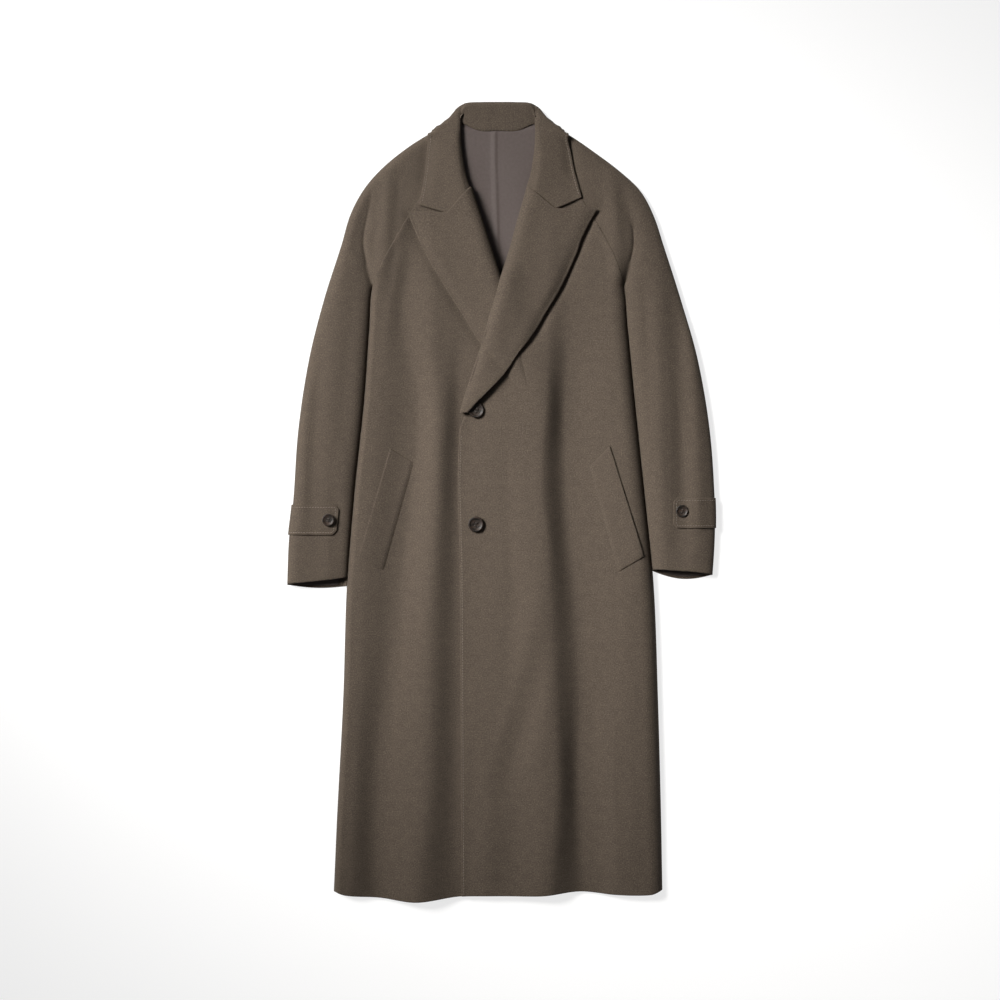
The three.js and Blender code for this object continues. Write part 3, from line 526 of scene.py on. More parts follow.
wool = woven(
    "melange wool coating",
    colours=((0.062, 0.048, 0.0365), (0.19, 0.152, 0.118), (0.009, 0.007, 0.0055)),
    rib_pitch=0.0026, fleck_size=0.0021, flecks=(0.3, 0.38), bump=0.16, roughness=0.95, sheen=0.05)
front_right = sewn_on("right_front", cloth_mesh("right_front", front_sheet("right"), WALL, 1), wool, "front_right")
front_left = sewn_on("left_front", cloth_mesh("left_front", front_sheet("left"), WALL, -1), wool, "front_left")

# The back, one wide panel of the same wool. It lies flat on the table under the fronts, whose sides come
# down onto it, and behind the neck it rests on the turned-down collar.
NECK_X = -4.0
COLLAR_LIFT = 5.0
UNDER_RADIUS = 15.0


def floor_height(x, y):
    """Lower face of the under cloth: the table, or the collar behind the neck."""
    return COLLAR_LIFT * ease((y - 520) / 20) * ease((165 - np.abs(x - NECK_X)) / 30)


def parted(y):
    """How fully sleeve and body are two tubes: 1 below the armpit, 0 further up."""
    return ease((ARMPIT_Y + CLOSE_OVER - y) / CLOSE_OVER)


def under_height(x, y, to_seam, to_outer=math.inf):
    """Under cloth: flat, with each edge turned up in a quarter ellipse to meet the upper cloth."""
    turned = np.minimum(
        parted(y) * (1 - rise(to_seam, UNDER_RADIUS)) + (1 - rise(to_outer, UNDER_RADIUS)), 1)
    return mix(floor_height(x, y), crown(x, y) * (1 - SEAM_DIP), turned)


def back_sheet():
    """Rows run level from the right side edge to the left one, dipping at the neck."""
    y = np.linspace(602, HEM_Y, 236)[:, None]
    x = mix(read(BODY_EDGE, "right", y) + 1.4, read(BODY_EDGE, "left", y) - 1.4, np.linspace(0, 1, 84))
    neck_dip = 11 * (1 - ((x - NECK_X) / 59) ** 2) * ease((y - 560) / 42)
    hem = ease((HEM_Y + 60 - y) / 60)
    placed_y = y - np.maximum(neck_dip, 0) + hem * (read(HEM, "y", x) - HEM_Y)
    return np.stack([x, placed_y, floor_height(x, placed_y)], axis=-1)


back_panel = sewn_on("back_panel", cloth_mesh("back_panel", back_sheet(), WALL, -1), wool, "back")

# The raglan sleeves, each in a front and a back half that run from the collar to the cuff. They lie flat
# beside the body, and the halves meet along the outer edge.
SLEEVE_EDGE = table(
    "y right left",
    (603, -74, 66), (597, -92, 84), (585, -117, 109), (561, -155, 146), (529, -193, 189), (497, -220, 223),
    (457, -241, 245), (409, -255, 261), (321, -283, 289), (225, -307, 316), (113, -324, 335), (1, -332, 343),
    (-63, -339, 343), (-140, -342, 338))
SLEEVE_ROWS = table(
    "step outer_y front_y back_y",
    (0, 603, 549, 602), (1, 597, 522, 572), (2, 585, 494, 543), (3, 566, 466, 511), (4, 540, 438, 478),
    (5, 505, 410, 446), (6, 462, 384, 412), (7, 412, 362, 378), (8, 368, 342, 342), (9, 312, 300, 300),
    (10, 255, 250, 250), (11, 200, 200, 200), (12, 150, 150, 150), (13, 100, 100, 100), (14, 50, 50, 50),
    (15, 4, 4, 4), (16, -44, -44, -44), (17, -88, -88, -88))
Cuff = namedtuple("Cuff", "outer_y inner_y bulge")
CUFFS = {
    ("right", "front"): Cuff(-133, -123, 0), ("left", "front"): Cuff(-118, -110, -2),
    ("right", "back"): Cuff(-135, -137, 4), ("left", "back"): Cuff(-119, -113, 9.5),
}


def sleeve_sheet(side, half, outer_y, inner_y, columns, bulge=0):
    """Rows join a place on the sleeve's outer edge to one on its edge with the body. Both edges are turned
    in quarter ellipses, drawn in where a row is shorter than the two. A row bows down by its bulge."""
    outer_x = read(SLEEVE_EDGE, side, outer_y)
    edge_x = read(BODY_EDGE, side, inner_y) + SIGN[side] * SEAM_GAP / 2
    start = np.stack([outer_x, outer_y], axis=-1)
    run = np.stack([edge_x, inner_y], axis=-1) - start
    length = np.linalg.norm(run, axis=-1)
    radius = OUTER_RADIUS[side] if half == "front" else UNDER_RADIUS
    drawn = np.maximum(length, radius + SLEEVE_RADIUS + 8)[:, None]
    shares = np.linspace(0, 1, columns)[None, 1:-1]
    to_outer = np.hstack([
        edge_steps(9, radius)[None, :] + 0 * drawn,
        mix(radius, drawn - SLEEVE_RADIUS, shares),
        (drawn - edge_steps(9, SLEEVE_RADIUS)[None, :])[:, ::-1]])
    place = start[:, None, :] + run[:, None, :] * (to_outer / drawn)[..., None]
    x = place[..., 0]
    y = place[..., 1] - np.broadcast_to(bulge, outer_y.shape)[:, None] * np.sin(np.pi * to_outer / drawn)
    if half == "front":
        z = upper_height(x, y, edge_x[:, None], side, to_outer)
    else:
        z = under_height(x, y, drawn - to_outer, to_outer)
    return np.stack([x, y, z], axis=-1)


def whole_sleeve(side, half, rows, columns):
    """All rows of one half, from the collar to the cuff."""
    step = np.linspace(0, 18, rows)
    cuff = CUFFS[side, half]
    key = "front_y" if half == "front" else "back_y"
    onward = np.clip(step - 17, 0, 1)
    outer_y = mix(read(SLEEVE_ROWS, "outer_y", step), cuff.outer_y, onward)
    inner_y = mix(read(SLEEVE_ROWS, key, step), cuff.inner_y, onward)
    return sleeve_sheet(side, half, outer_y, inner_y, columns, cuff.bulge * ease((step - 15.5) / 2.5))


for side in ("right", "left"):
    for half, rows, columns, up in (("front", 230, 36, 1), ("back", 150, 24, -1)):
        name = f"{side}_sleeve_{half}"
        mesh = cloth_mesh(name, whole_sleeve(side, half, rows, columns), WALL, up * SIGN[side] * -1)
        sleeve = sewn_on(name, mesh, wool, f"sleeve_{half}_{side}")

# The lapels, wool faced with wool and pressed over along a soft roll. Each is cut with a peak and is sewn
# to the collar along the gorge. The left one lies over the right one and passes above the upper button.
Notch = namedtuple("Notch", "lapel_share lapel_drop collar_share collar_drop")
NOTCHES = {"right": Notch(0.35, 27.6, 0.44, 29.0), "left": Notch(0.38, 21.7, 0.50, 27.4)}
BELLY_HEIGHT = 3.6
BELLY_PLACE = 12.0
EDGE_PRESS = 0.8
LEAF_TURN = math.radians(45)


def belly(distance, height):
    """Soft swell of a rolled leaf that leaves the roll at half a right angle: h (d / w) e^(1 - d / w), with
    the roll's own rise of R (1 - sin 45) made up over the first few millimetres."""
    share = distance / BELLY_PLACE
    missing = ROLL_RADIUS * (1 - math.sin(LEAF_TURN))
    return height * share * np.exp(1 - share) - missing * np.exp(-distance / 5)


def from_roll(side, x, y):
    """How far out from where it leaves the roll a place on a lapel or on the collar's leaf lies."""
    return np.maximum(
        SIGN[side] * (x - read(FRONT_EDGE, side, y)) - ROLL_RADIUS * (1 - math.cos(LEAF_TURN)), 0)


def side_height(side, x, y):
    """Top of the front that a lapel lies on."""
    lift = lap_lift(x, y) if side == "left" else 0
    return upper_height(x, y, read(BODY_EDGE, side, y), side) + lift


def lapel_sheet(side):
    """Rows run from under the roll, round its circle, and out over the front to the lapel's edge. The leaf
    swells next to the roll, and its outer edge is pressed flat onto the front."""
    sign = SIGN[side]
    rows = LAPEL[side]
    roll_y = np.linspace(rows["roll_y"][-1], rows["roll_y"][0], 150)[:, None]
    outer_x, outer_y, bend, loose = (read(rows, name, roll_y) for name in ("outer_x", "outer_y", "bend", "loose"))
    roll_x = cloth_edge(side, roll_y)
    centre_z = side_height(side, roll_x, roll_y) - WALL / 2 + loose
    on_cloth = 1 if side == "right" else ease((roll_y - 372) / 30)
    turn = mix(np.radians(mix(-4, -58, on_cloth)), LEAF_TURN, np.linspace(0, 1, 10)[None, :-1])
    round_x = roll_x - sign * ROLL_RADIUS * np.cos(turn)
    round_z = centre_z + ROLL_RADIUS * np.sin(turn)
    share = np.linspace(0, 1, 46)[None, :]
    notch = NOTCHES[side]
    dip = np.minimum(share / notch.lapel_share, (1 - share) / (1 - notch.lapel_share))
    flat_x = mix(roll_x - sign * ROLL_RADIUS * math.cos(LEAF_TURN), outer_x, share)
    flat_y = mix(roll_y, outer_y, share) - notch.lapel_drop * bend * dip
    along = (roll_y - rows["roll_y"][0]) / (rows["roll_y"][-1] - rows["roll_y"][0])
    swell = BELLY_HEIGHT * ease(0.15 + along / 0.3)
    pressed = EDGE_PRESS * ease((share - 0.8) / 0.2)
    flat_z = (side_height(side, flat_x, flat_y) + LAYER_GAP + FOLDED_WALL + loose
              + belly(from_roll(side, flat_x, flat_y), swell) - pressed)
    x = np.hstack([round_x, flat_x])
    y = np.hstack([roll_y + 0 * round_x, flat_y])
    z = np.hstack([round_z, flat_z])
    return np.stack([x, y, z], axis=-1)


lapel_right = sewn_on(
    "right_lapel", cloth_mesh("right_lapel", lapel_sheet("right"), FOLDED_WALL, 1), wool, "lapel_right")
lapel_left = sewn_on(
    "left_lapel", cloth_mesh("left_lapel", lapel_sheet("left"), FOLDED_WALL, -1), wool, "lapel_left")

# The collar, a stand sewn to the neckline and a fall that rolls over it. At the sides of the neck the fall
# passes over the shoulders, and behind the neck it lies folded under the back.
COLLAR_ROWS = table(
    "step roll_out roll_y aim turn base fold_out fold_y edge_out edge_y bend",
    (0, 44.5, 499.5, 0, 0, 0.12, 0, 0, 125, 472, 1), (1, 51, 520, 0, 0, 0.45, 0, 0, 120, 499, 0.35),
    (2, 55, 542, 0, 0, 0.85, 0, 0, 116, 526, 0), (3, 58, 566, 0, 0, 1.3, 0, 0, 113, 556, 0),
    (4, 59, 584, 6, 8, 1.6, 0, 0, 111, 576, 0), (5, 59, 592, 10, 15, 1.7, 0, 0, 112, 585, 0),
    (6, 59, 597, 14, 24, 1.78, 111, 588, 109, 586, 0), (7, 59, 600, 18, 32, 1.83, 106, 593, 103, 582, 0),
    (8, 59, 604, 24, 42, 1.88, 99, 599, 99, 572, 0), (9, 59.5, 616, 33, 70, 2.05, 86, 608, 90, 562, 0),
    (10, 59.5, 628, 50, 110, 2.5, 73, 620, 76, 554, 0), (11, 52.5, 636, 80, 150, 3.0, 59, 632, 56, 549, 0),
    (12, 27, 637.8, 90, 180, 3.5, 0, 0, 28, 546, 0), (13, 0, 638, 90, 180, 4, 0, 0, 0, 545, 0))
CORNER_SHIFT = {"right": (0, 0), "left": (8, 12.5)}
ROLL_LIFT = 4.5
Neck = namedtuple("Neck", "row roll_side v n centre base edge fold")
LEAF_STEPS = 14
STAND_INSET = 1.5
NECK_SAG = 6.0


def neckline(side):
    """Places along the neckline: front edge, seam top, shoulder, back seam top and centre back."""
    return np.array([
        (cloth_edge(side, 507), 508, 0), (read(BODY_EDGE, side, SEAM_TOP_Y), SEAM_TOP_Y, 0),
        (read(SLEEVE_EDGE, side, 603), 603, 0), (read(BODY_EDGE, side, 602), 602, 0), (NECK_X, 591, 0)])


def collar_frames(side):
    """For each row: v points across the roll toward the neck, n is square to the collar there, and base,
    centre, fold and edge are its places from the neck seam to the outer edge."""
    sign = SIGN[side]
    neck = neckline(side)
    frames = []
    for k in range(len(COLLAR_ROWS["step"])):
        row = {name: column[k] for name, column in COLLAR_ROWS.items()}
        aim = math.radians(row["aim"])
        turn = math.radians(row["turn"])
        v = np.array([-sign * math.cos(aim), math.sin(aim), 0])
        away = np.array([sign * math.sin(aim), math.cos(aim), 0])
        n = np.array([0, 0, math.cos(turn)]) + away * math.sin(turn)
        centre = np.array([NECK_X + sign * row["roll_out"], row["roll_y"], 0]) - v * ROLL_RADIUS
        centre[2] = mix(crown(centre[0], centre[1]) - WALL / 2, ROLL_RADIUS + ROLL_LIFT, ease(row["turn"] / 180))
        segment = min(int(row["base"]), 3)
        base = mix(neck[segment], neck[segment + 1], row["base"] - segment) + v * 1.6
        base[1] -= NECK_SAG * math.sin(math.pi * max(row["base"] - 3, 0))
        base[2] = mix(crown(base[0], base[1]) - WALL / 2, COLLAR_LIFT + WALL / 2, ease((row["base"] - 1) / 2))
        fade = max(1 - k / 4, 0)
        edge = np.array([NECK_X + sign * (row["edge_out"] + CORNER_SHIFT[side][0] * fade),
                         row["edge_y"] + CORNER_SHIFT[side][1] * fade, 0])
        fold = np.array([NECK_X + sign * row["fold_out"], row["fold_y"], 0])
        frames.append(Neck(row, sign, v, n, centre, base, edge, fold))
    return frames


def spaced(points, count):
    """Points evenly spaced along the smooth curve through a few given ones."""
    run = np.concatenate([[0], np.cumsum(np.linalg.norm(np.diff(points, axis=0), axis=-1))])
    fine = through(run, points, np.linspace(0, run[-1], 120))
    fine_run = np.concatenate([[0], np.cumsum(np.linalg.norm(np.diff(fine, axis=0), axis=-1))])
    return through(fine_run, fine, np.linspace(0, fine_run[-1], count))


def fall_row(neck):
    """Outer points of one row of the fall: round the roll, then out over the coat or back under it."""
    row = neck.row
    side = "right" if neck.roll_side < 0 else "left"
    on_leaf = row["fold_out"] == 0 and row["turn"] < 180
    last = LEAF_TURN if on_leaf else math.pi / 2
    turns = np.radians((-90, -80, -70, -50, -20, 10))[:, None]
    turns = np.vstack([turns, mix(turns[-1:], last, 0.5), [[last]]])
    hook = neck.centre + neck.v * ROLL_RADIUS * np.cos(turns) + neck.n * ROLL_RADIUS * np.sin(turns)
    neck_end = neck.base - neck.n * (WALL / 2 + FOLDED_WALL)
    band = mix(neck_end, hook[2], np.array([0, 0.5, 1])[:, None])
    folded_back = ease((row["turn"] - 20) / 70)
    hook[:3] = mix(mix(hook[3], hook[0], np.array([0.3, 0.2, 0.1])[:, None]), band, folded_back)
    start = hook[-1]
    hook = hook[:-1]
    share = np.linspace(0, 1, LEAF_STEPS + 1)[:, None]
    if row["turn"] >= 180 or row["fold_out"] == 0:
        leaf = mix(start, neck.edge, share)
        if row["turn"] < 180:
            notch = NOTCHES[side]
            dip = np.minimum(share / notch.collar_share, (1 - share) / (1 - notch.collar_share))[:, 0]
            leaf[:, 1] -= notch.collar_drop * row["bend"] * dip
            leaf[1:, 2] = crown(leaf[1:, 0], leaf[1:, 1]) + LAYER_GAP + FOLDED_WALL
            swell = BELLY_HEIGHT * (1 - ease((row["step"] - 2) / 5))
            leaf[1:, 2] += belly(from_roll(side, leaf[1:, 0], leaf[1:, 1]), swell)
        return np.vstack([hook, leaf])
    fold = neck.fold
    top = mix(crown(fold[0], fold[1]) + LAYER_GAP + FOLDED_WALL, start[2], ease(row["turn"] / 70))
    flat_start = np.array([start[0], start[1], 0])
    turn_in = min(9, np.linalg.norm(fold - flat_start) * 0.6)
    toward_roll = unit(flat_start - fold)
    toward_edge = unit(neck.edge - fold)
    under_length = np.linalg.norm(neck.edge - fold)
    lifted = np.array([0, 0, 1.0])
    route = [
        start, fold + toward_roll * turn_in + lifted * mix(start[2], top, 0.5) * 0.96,
        fold + toward_roll * turn_in * 0.25 + lifted * top * 0.74, fold + lifted * top * 0.45]
    if under_length >= 5:
        route += [
            fold + toward_edge * turn_in * 0.35 + lifted * top * 0.16,
            fold + toward_edge * min(turn_in * 1.3, under_length * 0.8), neck.edge]
    leaf = spaced(np.array(route), LEAF_STEPS + 1)
    leaf[:, 2] = np.maximum(leaf[:, 2], 0)
    return np.vstack([hook, leaf])


def round_the_neck(make_row):
    """Rows from the right corner round the back of the neck to the left one."""
    right = [make_row(neck) for neck in collar_frames("right")]
    left = [make_row(neck) for neck in collar_frames("left")]
    return np.array(right + left[-2::-1])


def smoothed(net, rows, columns):
    """Finer grid on the smooth surface through a net of points, curved first down and then across it."""
    for axis, count in ((0, rows), (1, columns)):
        gaps = np.linalg.norm(np.diff(net, axis=axis), axis=-1).mean(axis=1 - axis)
        run = np.concatenate([[0], np.cumsum(gaps)])
        moved = np.moveaxis(net, axis, 0)
        net = np.moveaxis(through(run, moved, np.linspace(0, run[-1], count)), 0, axis)
    return net


def stand_row(neck):
    """Outer points of one row of the stand, from the neck seam toward the roll."""
    twisting = math.sin(math.radians(neck.row["turn"]))
    share = np.linspace(0, 1, 5)[:, None]
    return mix(neck.base, neck.centre + neck.v * 2, share) + neck.n * (STAND_INSET * twisting + WALL / 2)


fall_net = smoothed(round_the_neck(fall_row), 260, 60)
collar_fall = sewn_on(
    "collar_leaf", cloth_mesh("collar_leaf", fall_net, FOLDED_WALL, 1), wool, "collar_fall")
stand_net = smoothed(round_the_neck(stand_row), 200, 14)
collar_stand = sewn_on(
    "collar_band", cloth_mesh("collar_band", stand_net, WALL, -1), wool, "collar_stand")

# The back lining, a thin twill in dusty brown. It shows only inside the neck opening, with a pleat down
# its centre that is pressed to one side and gives the shoulders ease.
LINING_WALL = 1.2
LINING_ROWS = table(
    "y half pleat_x", (597, 60, -6), (572, 66, -6), (543, 71, -6), (511, 74, -5), (446, 66, -3), (378, 50, -1),
    (335, 40, 0))


def lining_sheet():
    """Level rows, tucked down at the neck seam. The pleat is a slope up over 9 mm and a step down."""
    y = np.linspace(597, 335, 110)[:, None]
    share = np.linspace(-1, 1, 76)[None, :]
    x = NECK_X + read(LINING_ROWS, "half", y) * share
    placed_y = y + 7.5 * share**2 * ease((y - 572) / 16)
    from_pleat = x - read(LINING_ROWS, "pleat_x", y)
    proud = 0.7 * ease((from_pleat + 12) / 9) * (1 - ease((from_pleat + 2) / 3))
    soft = 0.9 * np.sin(from_pleat / 19 + y / 90) * ease((570 - y) / 60)
    floor = COLLAR_LIFT * ease((placed_y - 430) / 130)
    tuck = 2.4 * ease((y - 589) / 7)
    z = floor + WALL + LAYER_GAP + LINING_WALL + proud + soft + 0.4 - tuck
    return np.stack([x, placed_y, z], axis=-1)


lining_cloth = woven(
    "lining twill", colours=((0.067, 0.053, 0.049), (0.12, 0.097, 0.09), (0.056, 0.044, 0.041)),
    rib_pitch=0.0009, fleck_size=0.0007, flecks=(0.2, 0.25), bump=0.15, roughness=0.5, sheen=0.05)
lining = sewn_on(
    "neck_lining", cloth_mesh("neck_lining", lining_sheet(), LINING_WALL, 1), lining_cloth, "lining_back")

# The slanted pocket welts, a strip of wool folded in two and sewn in along its inner edge and both ends.
# The outer edge is left open for the hand and stands a little off the front.
WELT = {
    "right": ((-176, 83), (-139, 60), (-187, -113), (-226, -88)),
    "left": ((174, 87), (142, 54), (187, -114), (229, -89)),
}
WELT_WALL = 1.8


def welt_sheet(side):
    """A four-cornered patch on the front, blended between its corners, rising from its inner edge."""
    a, b, c, d = (np.array(corner, float) for corner in WELT[side])
    down = np.linspace(0, 1, 70)[:, None, None]
    across = np.linspace(0, 1, 18)[None, :, None]
    place = mix(mix(a, d, down), mix(b, c, down), across)
    x = place[..., 0]
    y = place[..., 1]
    sewn_ends = ease(np.minimum(down[..., 0], 1 - down[..., 0]) / 0.04)
    lift = mix(2.9, 1.9, ease(across[..., 0] / 0.8)) - 1.7 * ease((across[..., 0] - 0.86) / 0.14)
    lift = lift - 0.5 * (1 - sewn_ends)
    return np.stack([x, y, side_height(side, x, y) + lift], axis=-1)


for side in ("right", "left"):
    mesh = cloth_mesh(f"{side}_welt", welt_sheet(side), WELT_WALL, -SIGN[side])
    welt = sewn_on(f"{side}_pocket_welt", mesh, wool, f"welt_{side}")

# The cuff straps, tabs of double wool with a line of topstitching near their edges. Each lies across the
# front of its cuff and is held down by a button.
STRAP = {"right": (-7, -55, 84), "left": (4, -44, 74)}
STRAP_WALL = 2.0
STRAP_CLEAR = 0.7


def strap_sheet(side):
    """Offset of the sleeve's own surface: its points between two levels, moved out along the normal. The
    inner end has its corners clipped."""
    top_y, end_y, length = STRAP[side]
    levels = np.linspace(top_y, end_y, 26)
    skin = sleeve_sheet(side, "front", levels, levels, 60)
    run = np.linalg.norm(np.diff(skin, axis=1), axis=-1)
    reach = np.concatenate([np.zeros((len(levels), 1)), np.cumsum(run, axis=1)], axis=1)
    down = np.gradient(skin, axis=0)
    across = np.gradient(skin, axis=1)
    normal = unit(np.cross(down, across)) * -SIGN[side]
    skin = skin + normal * (STRAP_CLEAR + STRAP_WALL)
    middle = abs(top_y - end_y) / 2
    corner = np.maximum(np.abs(levels - (top_y + end_y) / 2) - middle + 7, 0)
    ends = length - corner * 0.9
    wanted = 3.0 + (ends[:, None] - 3.0) * np.linspace(0, 1, 46)[None, :]
    return np.stack([through(reach[i], skin[i], wanted[i]) for i in range(len(levels))])


straps = {}
for side in ("right", "left"):
    straps[side] = strap_sheet(side)
    mesh = cloth_mesh(f"{side}_strap", straps[side], STRAP_WALL, -SIGN[side])
    strap = sewn_on(f"{side}_cuff_strap", mesh, wool, f"cuff_strap_{side}")

# The topstitching, twisted thread a shade paler than the wool, sewn by machine 5 mm in from the edges.
# Each stitch is a short pillow that dips into the cloth at both ends.
STITCH_LENGTH = 3.4
STITCH_GAP = 0.9
STITCH_RADIUS = 0.42


def stitched(name, route, normal):
    """Stitches along a route: at each one a spindle of six sides, radius r sin(pi t)^0.5, sunk by half."""
    run = np.concatenate([[0], np.cumsum(np.linalg.norm(np.diff(route, axis=0), axis=-1))])
    starts = np.arange(0, run[-1] - STITCH_LENGTH, STITCH_LENGTH + STITCH_GAP)
    t = np.linspace(0, 1, 6)
    places = starts[:, None] + t[None, :] * STITCH_LENGTH
    middle = through(run, route, places)
    up = unit(through(run, normal, places))
    ahead = unit(np.gradient(middle, axis=1))
    aside = np.cross(up, ahead)
    around = np.linspace(0, 2 * np.pi, 6, endpoint=False)
    radius = STITCH_RADIUS * np.sqrt(np.sin(np.pi * np.clip(t, 0.02, 0.98)))[None, :, None, None]
    ring = (aside[:, :, None, :] * np.cos(around)[None, None, :, None]
            + up[:, :, None, :] * np.sin(around)[None, None, :, None])
    points = (middle[:, :, None, :] + ring * radius).reshape(-1, 3)
    index = np.arange(len(points)).reshape(len(starts), 6, 6)
    next_around = np.roll(index, -1, axis=2)
    sides = np.stack([index[:, :-1], next_around[:, :-1], next_around[:, 1:], index[:, 1:]], axis=-1).reshape(-1, 4)
    caps = []
    for ring_index in (index[:, 0], index[:, -1][:, ::-1]):
        caps.append(np.stack([ring_index[:, 3], ring_index[:, 2], ring_index[:, 1], ring_index[:, 0]], axis=-1))
        caps.append(np.stack([ring_index[:, 5], ring_index[:, 4], ring_index[:, 3], ring_index[:, 0]], axis=-1))
    return named_mesh(name, points, np.concatenate([sides, *caps]))


def thread_material(name, colour):
    """Twisted thread: one colour with a fine noise in it and a little sheen."""
    material = bpy.data.materials.new(name)
    material.use_nodes = True
    nodes = material.node_tree.nodes
    link = material.node_tree.links.new
    shader = nodes["Principled BSDF"]
    where = nodes.new("ShaderNodeTexCoord")
    noise = nodes.new("ShaderNodeTexNoise")
    noise.inputs["Scale"].default_value = 2500
    link(where.outputs["Object"], noise.inputs["Vector"])
    ramp = nodes.new("ShaderNodeValToRGB")
    ramp.color_ramp.elements[0].color = (*(0.6 * c for c in colour), 1.0)
    ramp.color_ramp.elements[1].color = (*(1.3 * c for c in colour), 1.0)
    link(noise.outputs["Fac"], ramp.inputs["Fac"])
    link(ramp.outputs["Color"], shader.inputs["Base Color"])
    shader.inputs["Roughness"].default_value = 0.6
    return material


topstitch = thread_material("topstitch thread", (0.13, 0.105, 0.083))
for side in ("right", "left"):
    sheet = straps[side]
    normal = unit(np.cross(np.gradient(sheet, axis=0), np.gradient(sheet, axis=1))) * -SIGN[side]
    rim = [(2, slice(1, -3)), (slice(2, -2), -4), (-3, slice(-4, 0, -1))]
    route = np.concatenate([sheet[i, j] for i, j in rim])
    out = np.concatenate([normal[i, j] for i, j in rim])
    sewn_on(f"{side}_strap_stitches", stitched(f"{side}_strap_stitches", route, out), topstitch)

EDGE_INSET = 3.2


def inset(sheet):
    """Line on a sheet that keeps one distance from its last column, measured back along each row."""
    backward = sheet[:, ::-1]
    step = np.linalg.norm(np.diff(backward, axis=1), axis=-1)
    run = np.concatenate([np.zeros((len(sheet), 1)), np.cumsum(step, axis=1)], axis=1)
    return np.stack([through(run[i], backward[i], np.array([EDGE_INSET]))[0] for i in range(len(sheet))])


def edge_stitches(name, route):
    """Stitches along a route that lies nearly level."""
    out = np.zeros_like(route)
    out[:, 2] = 1.0
    sewn_on(name, stitched(name, route, out), topstitch)


for side in ("right", "left"):
    lapel_edge = inset(lapel_sheet(side))
    edge_stitches(f"{side}_lapel_stitches", lapel_edge[36:-5])
leaf_edge = inset(fall_net)
on_top = np.flatnonzero(fall_net[:, -1, 2] > 14)
half_way = len(fall_net) // 2
edge_stitches("right_collar_stitches", leaf_edge[on_top[on_top < half_way]][4:])
edge_stitches("left_collar_stitches", leaf_edge[on_top[on_top > half_way]][:-4])
front_edge = inset(front_sheet("left"))
edge_stitches("front_stitches", front_edge[front_edge[:, 1] < BREAK_Y["left"] - 20])

# The sleeve linings, of which only a band inside each cuff is made, where the open cuff shows it
CUFF_BAND = 46.0


def cuff_lining_sheet(side):
    """Level rows just above the inner face of the sleeve's back half, from the cuff up."""
    cuff = CUFFS[side, "back"]
    share = np.linspace(0, 1, 24)
    outer_y = cuff.outer_y + 4 + CUFF_BAND * share
    inner_y = cuff.inner_y + 4 + CUFF_BAND * share
    skin = sleeve_sheet(side, "back", outer_y, inner_y, 20, cuff.bulge * ease((0.3 - share) / 0.3))
    down = np.gradient(skin, axis=0)
    across = np.gradient(skin, axis=1)
    normal = unit(np.cross(down, across))
    normal = normal * np.sign(normal[:, 20:21, 2:3])
    return (skin + normal * (WALL + 1.3))[:, 6:-6]


for side in ("right", "left"):
    name = f"{side}_cuff_lining"
    band = cuff_lining_sheet(side)
    facing = np.sign(np.cross(np.gradient(band, axis=0), np.gradient(band, axis=1))[12, 10, 2])
    cuff_band = sewn_on(name, cloth_mesh(name, band, 0.8, facing), lining_cloth)

# The four buttons, turned from dark horn with a raised rim and a dished middle. Two of 25 mm close the
# front and one of 20 mm holds each cuff strap. Four holes take the thread.
BUTTON_NODES = ("front_button_upper", "front_button_lower", "cuff_button_right", "cuff_button_left")
BUTTON_PROFILE = table(
    "share height", (0, 0.56), (0.3, 0.56), (0.5, 0.58), (0.62, 0.64), (0.74, 0.9), (0.84, 1.0), (0.93, 0.93),
    (0.985, 0.72))
HOLE_OUT = 0.28
HOLE_WIDE = 0.085
HOLE_TURN = 0.35


def button_mesh(name, middle, radius, low, high):
    """Turned disc: rings of points at each share of the radius, with four round wells for the holes."""
    thick = high - low
    share = np.concatenate([np.linspace(0.004, 0.985, 44), [1.0, 0.985, 0.9, 0.5, 0.004]])
    angle = np.linspace(0, 2 * np.pi, 96, endpoint=False)
    height = np.concatenate([read(BUTTON_PROFILE, "height", share[:44]), [0.45, 0.15, 0, 0, 0]])
    x = share[:, None] * np.cos(angle)
    y = share[:, None] * np.sin(angle)
    z = np.broadcast_to(height[:, None], x.shape).copy()
    top = (np.arange(len(share)) < 44)[:, None]
    for k in range(4):
        hole_angle = HOLE_TURN + math.pi / 2 * k
        away = np.hypot(x - HOLE_OUT * math.cos(hole_angle), y - HOLE_OUT * math.sin(hole_angle))
        z -= 0.42 * top * ease((HOLE_WIDE * 1.5 - away) / (HOLE_WIDE * 0.8))
    points = np.stack([middle[0] + x * radius, middle[1] + y * radius, low + z * thick], axis=-1)
    index = np.arange(points.shape[0] * points.shape[1]).reshape(points.shape[:2])
    nextward = np.roll(index, -1, axis=1)
    faces = [np.stack([index[:-1], nextward[:-1], nextward[1:], index[1:]], axis=-1).reshape(-1, 4)]
    for ring in (index[0], index[-1][::-1]):
        half = len(ring) // 2
        a, b = ring[:half], ring[:half - 1:-1]
        faces.append(np.stack([a[:-1], b[:-1], b[1:], a[1:]], axis=-1))
    return named_mesh(name, points.reshape(-1, 3), np.concatenate(faces))


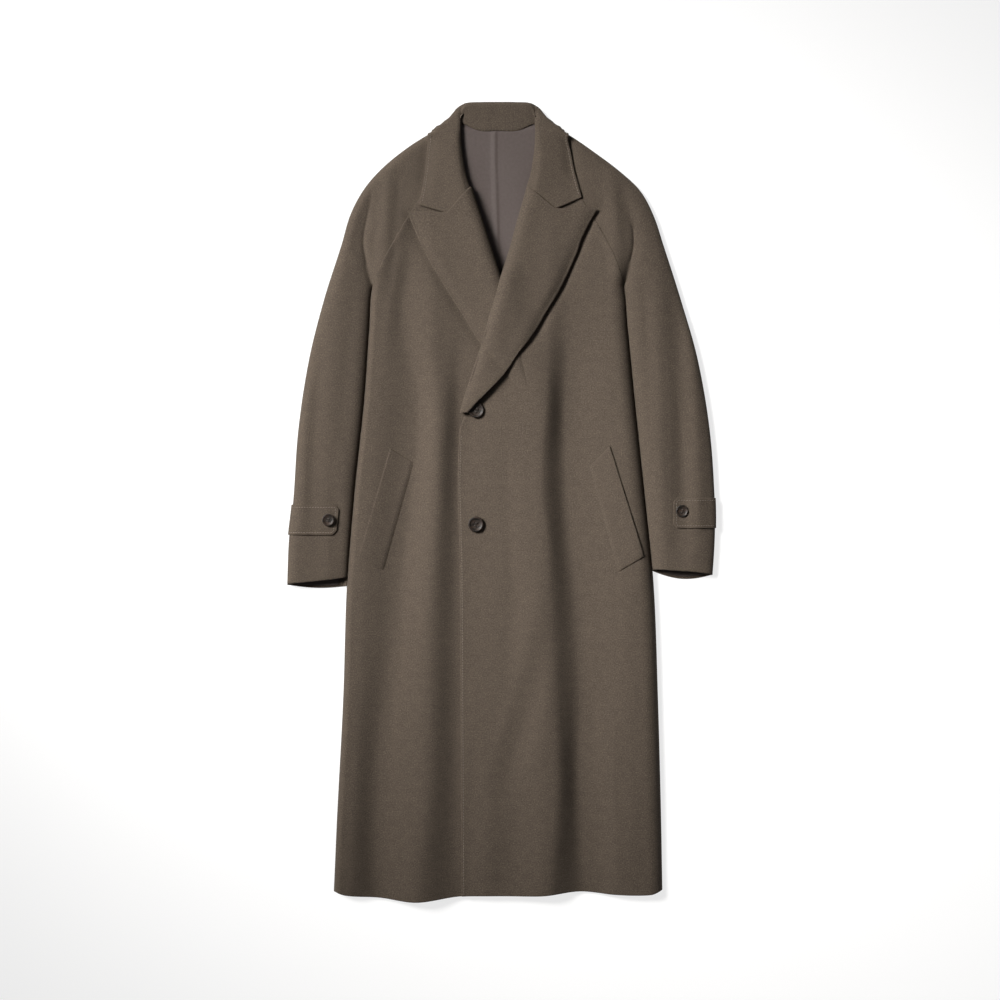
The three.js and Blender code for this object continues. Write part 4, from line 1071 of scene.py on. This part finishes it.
def horn_material():
    """Polished horn: near black with slow brown streaks."""
    material = bpy.data.materials.new("polished horn")
    material.use_nodes = True
    nodes = material.node_tree.nodes
    link = material.node_tree.links.new
    shader = nodes["Principled BSDF"]
    where = nodes.new("ShaderNodeTexCoord")
    stretch = nodes.new("ShaderNodeMapping")
    stretch.inputs["Scale"].default_value = (1.0, 3.0, 1.0)
    link(where.outputs["Object"], stretch.inputs["Vector"])
    noise = nodes.new("ShaderNodeTexNoise")
    noise.inputs["Scale"].default_value = 90
    noise.inputs["Detail"].default_value = 4
    noise.inputs["Distortion"].default_value = 1.2
    link(stretch.outputs["Vector"], noise.inputs["Vector"])
    ramp = nodes.new("ShaderNodeValToRGB")
    ramp.color_ramp.elements[0].position = 0.38
    ramp.color_ramp.elements[0].color = (0.004, 0.003, 0.002, 1.0)
    ramp.color_ramp.elements[1].position = 0.75
    ramp.color_ramp.elements[1].color = (0.03, 0.017, 0.011, 1.0)
    link(noise.outputs["Fac"], ramp.inputs["Fac"])
    link(ramp.outputs["Color"], shader.inputs["Base Color"])
    shader.inputs["Roughness"].default_value = 0.5
    shader.inputs["Specular IOR Level"].default_value = 0.3
    return material


def thread_cross(name, middle, radius, level):
    """Two parallel bands of thread between the holes: each a tube that arches over the middle."""
    t = np.linspace(0, 1, 14)
    around = np.linspace(0, 2 * np.pi, 10, endpoint=False)
    grids = []
    for k, strand in ((0, -0.3), (0, 0.3), (1, -0.3), (1, 0.3)):
        a = HOLE_TURN + math.pi / 2 * (2 * k)
        b = a + math.pi / 2
        ends = np.array([(math.cos(a), math.sin(a)), (math.cos(b), math.sin(b))]) * HOLE_OUT * radius
        ahead = unit(ends[1] - ends[0])
        aside = np.array([-ahead[1], ahead[0], 0])
        line = mix(ends[0], ends[1], t[:, None]) + np.array(middle) + aside[:2] * strand
        lift = level - 0.9 + 1.35 * np.sin(np.pi * t) ** 0.5
        core = np.column_stack([line, lift])
        ring = aside * np.cos(around)[:, None] + np.array([0, 0, 1.0]) * np.sin(around)[:, None]
        grids.append(core[:, None, :] + ring[None, :, :] * 0.36)
    points = np.array(grids)
    index = np.arange(points.size // 3).reshape(points.shape[:3])
    nextward = np.roll(index, -1, axis=2)
    sides = np.stack([index[:, :-1], nextward[:, :-1], nextward[:, 1:], index[:, 1:]], axis=-1).reshape(-1, 4)
    return named_mesh(name, points.reshape(-1, 3), sides)


horn = horn_material()
button_thread = thread_material("button thread", (0.03, 0.022, 0.017))
for node in BUTTON_NODES:
    lo, hi = (np.array(corner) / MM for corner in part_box(node))
    centre = (lo + hi) / 2
    name = "horn_" + node
    sewn_on(name, button_mesh(name, centre[:2], (hi[0] - lo[0]) / 2, lo[2], hi[2]), horn, node)
    seat = lo[2] + 0.56 * (hi[2] - lo[2])
    thread_name = "thread_" + node
    mesh = thread_cross(thread_name, centre[:2], (hi[0] - lo[0]) / 2, seat)
    sewn_on(thread_name, mesh, button_thread)
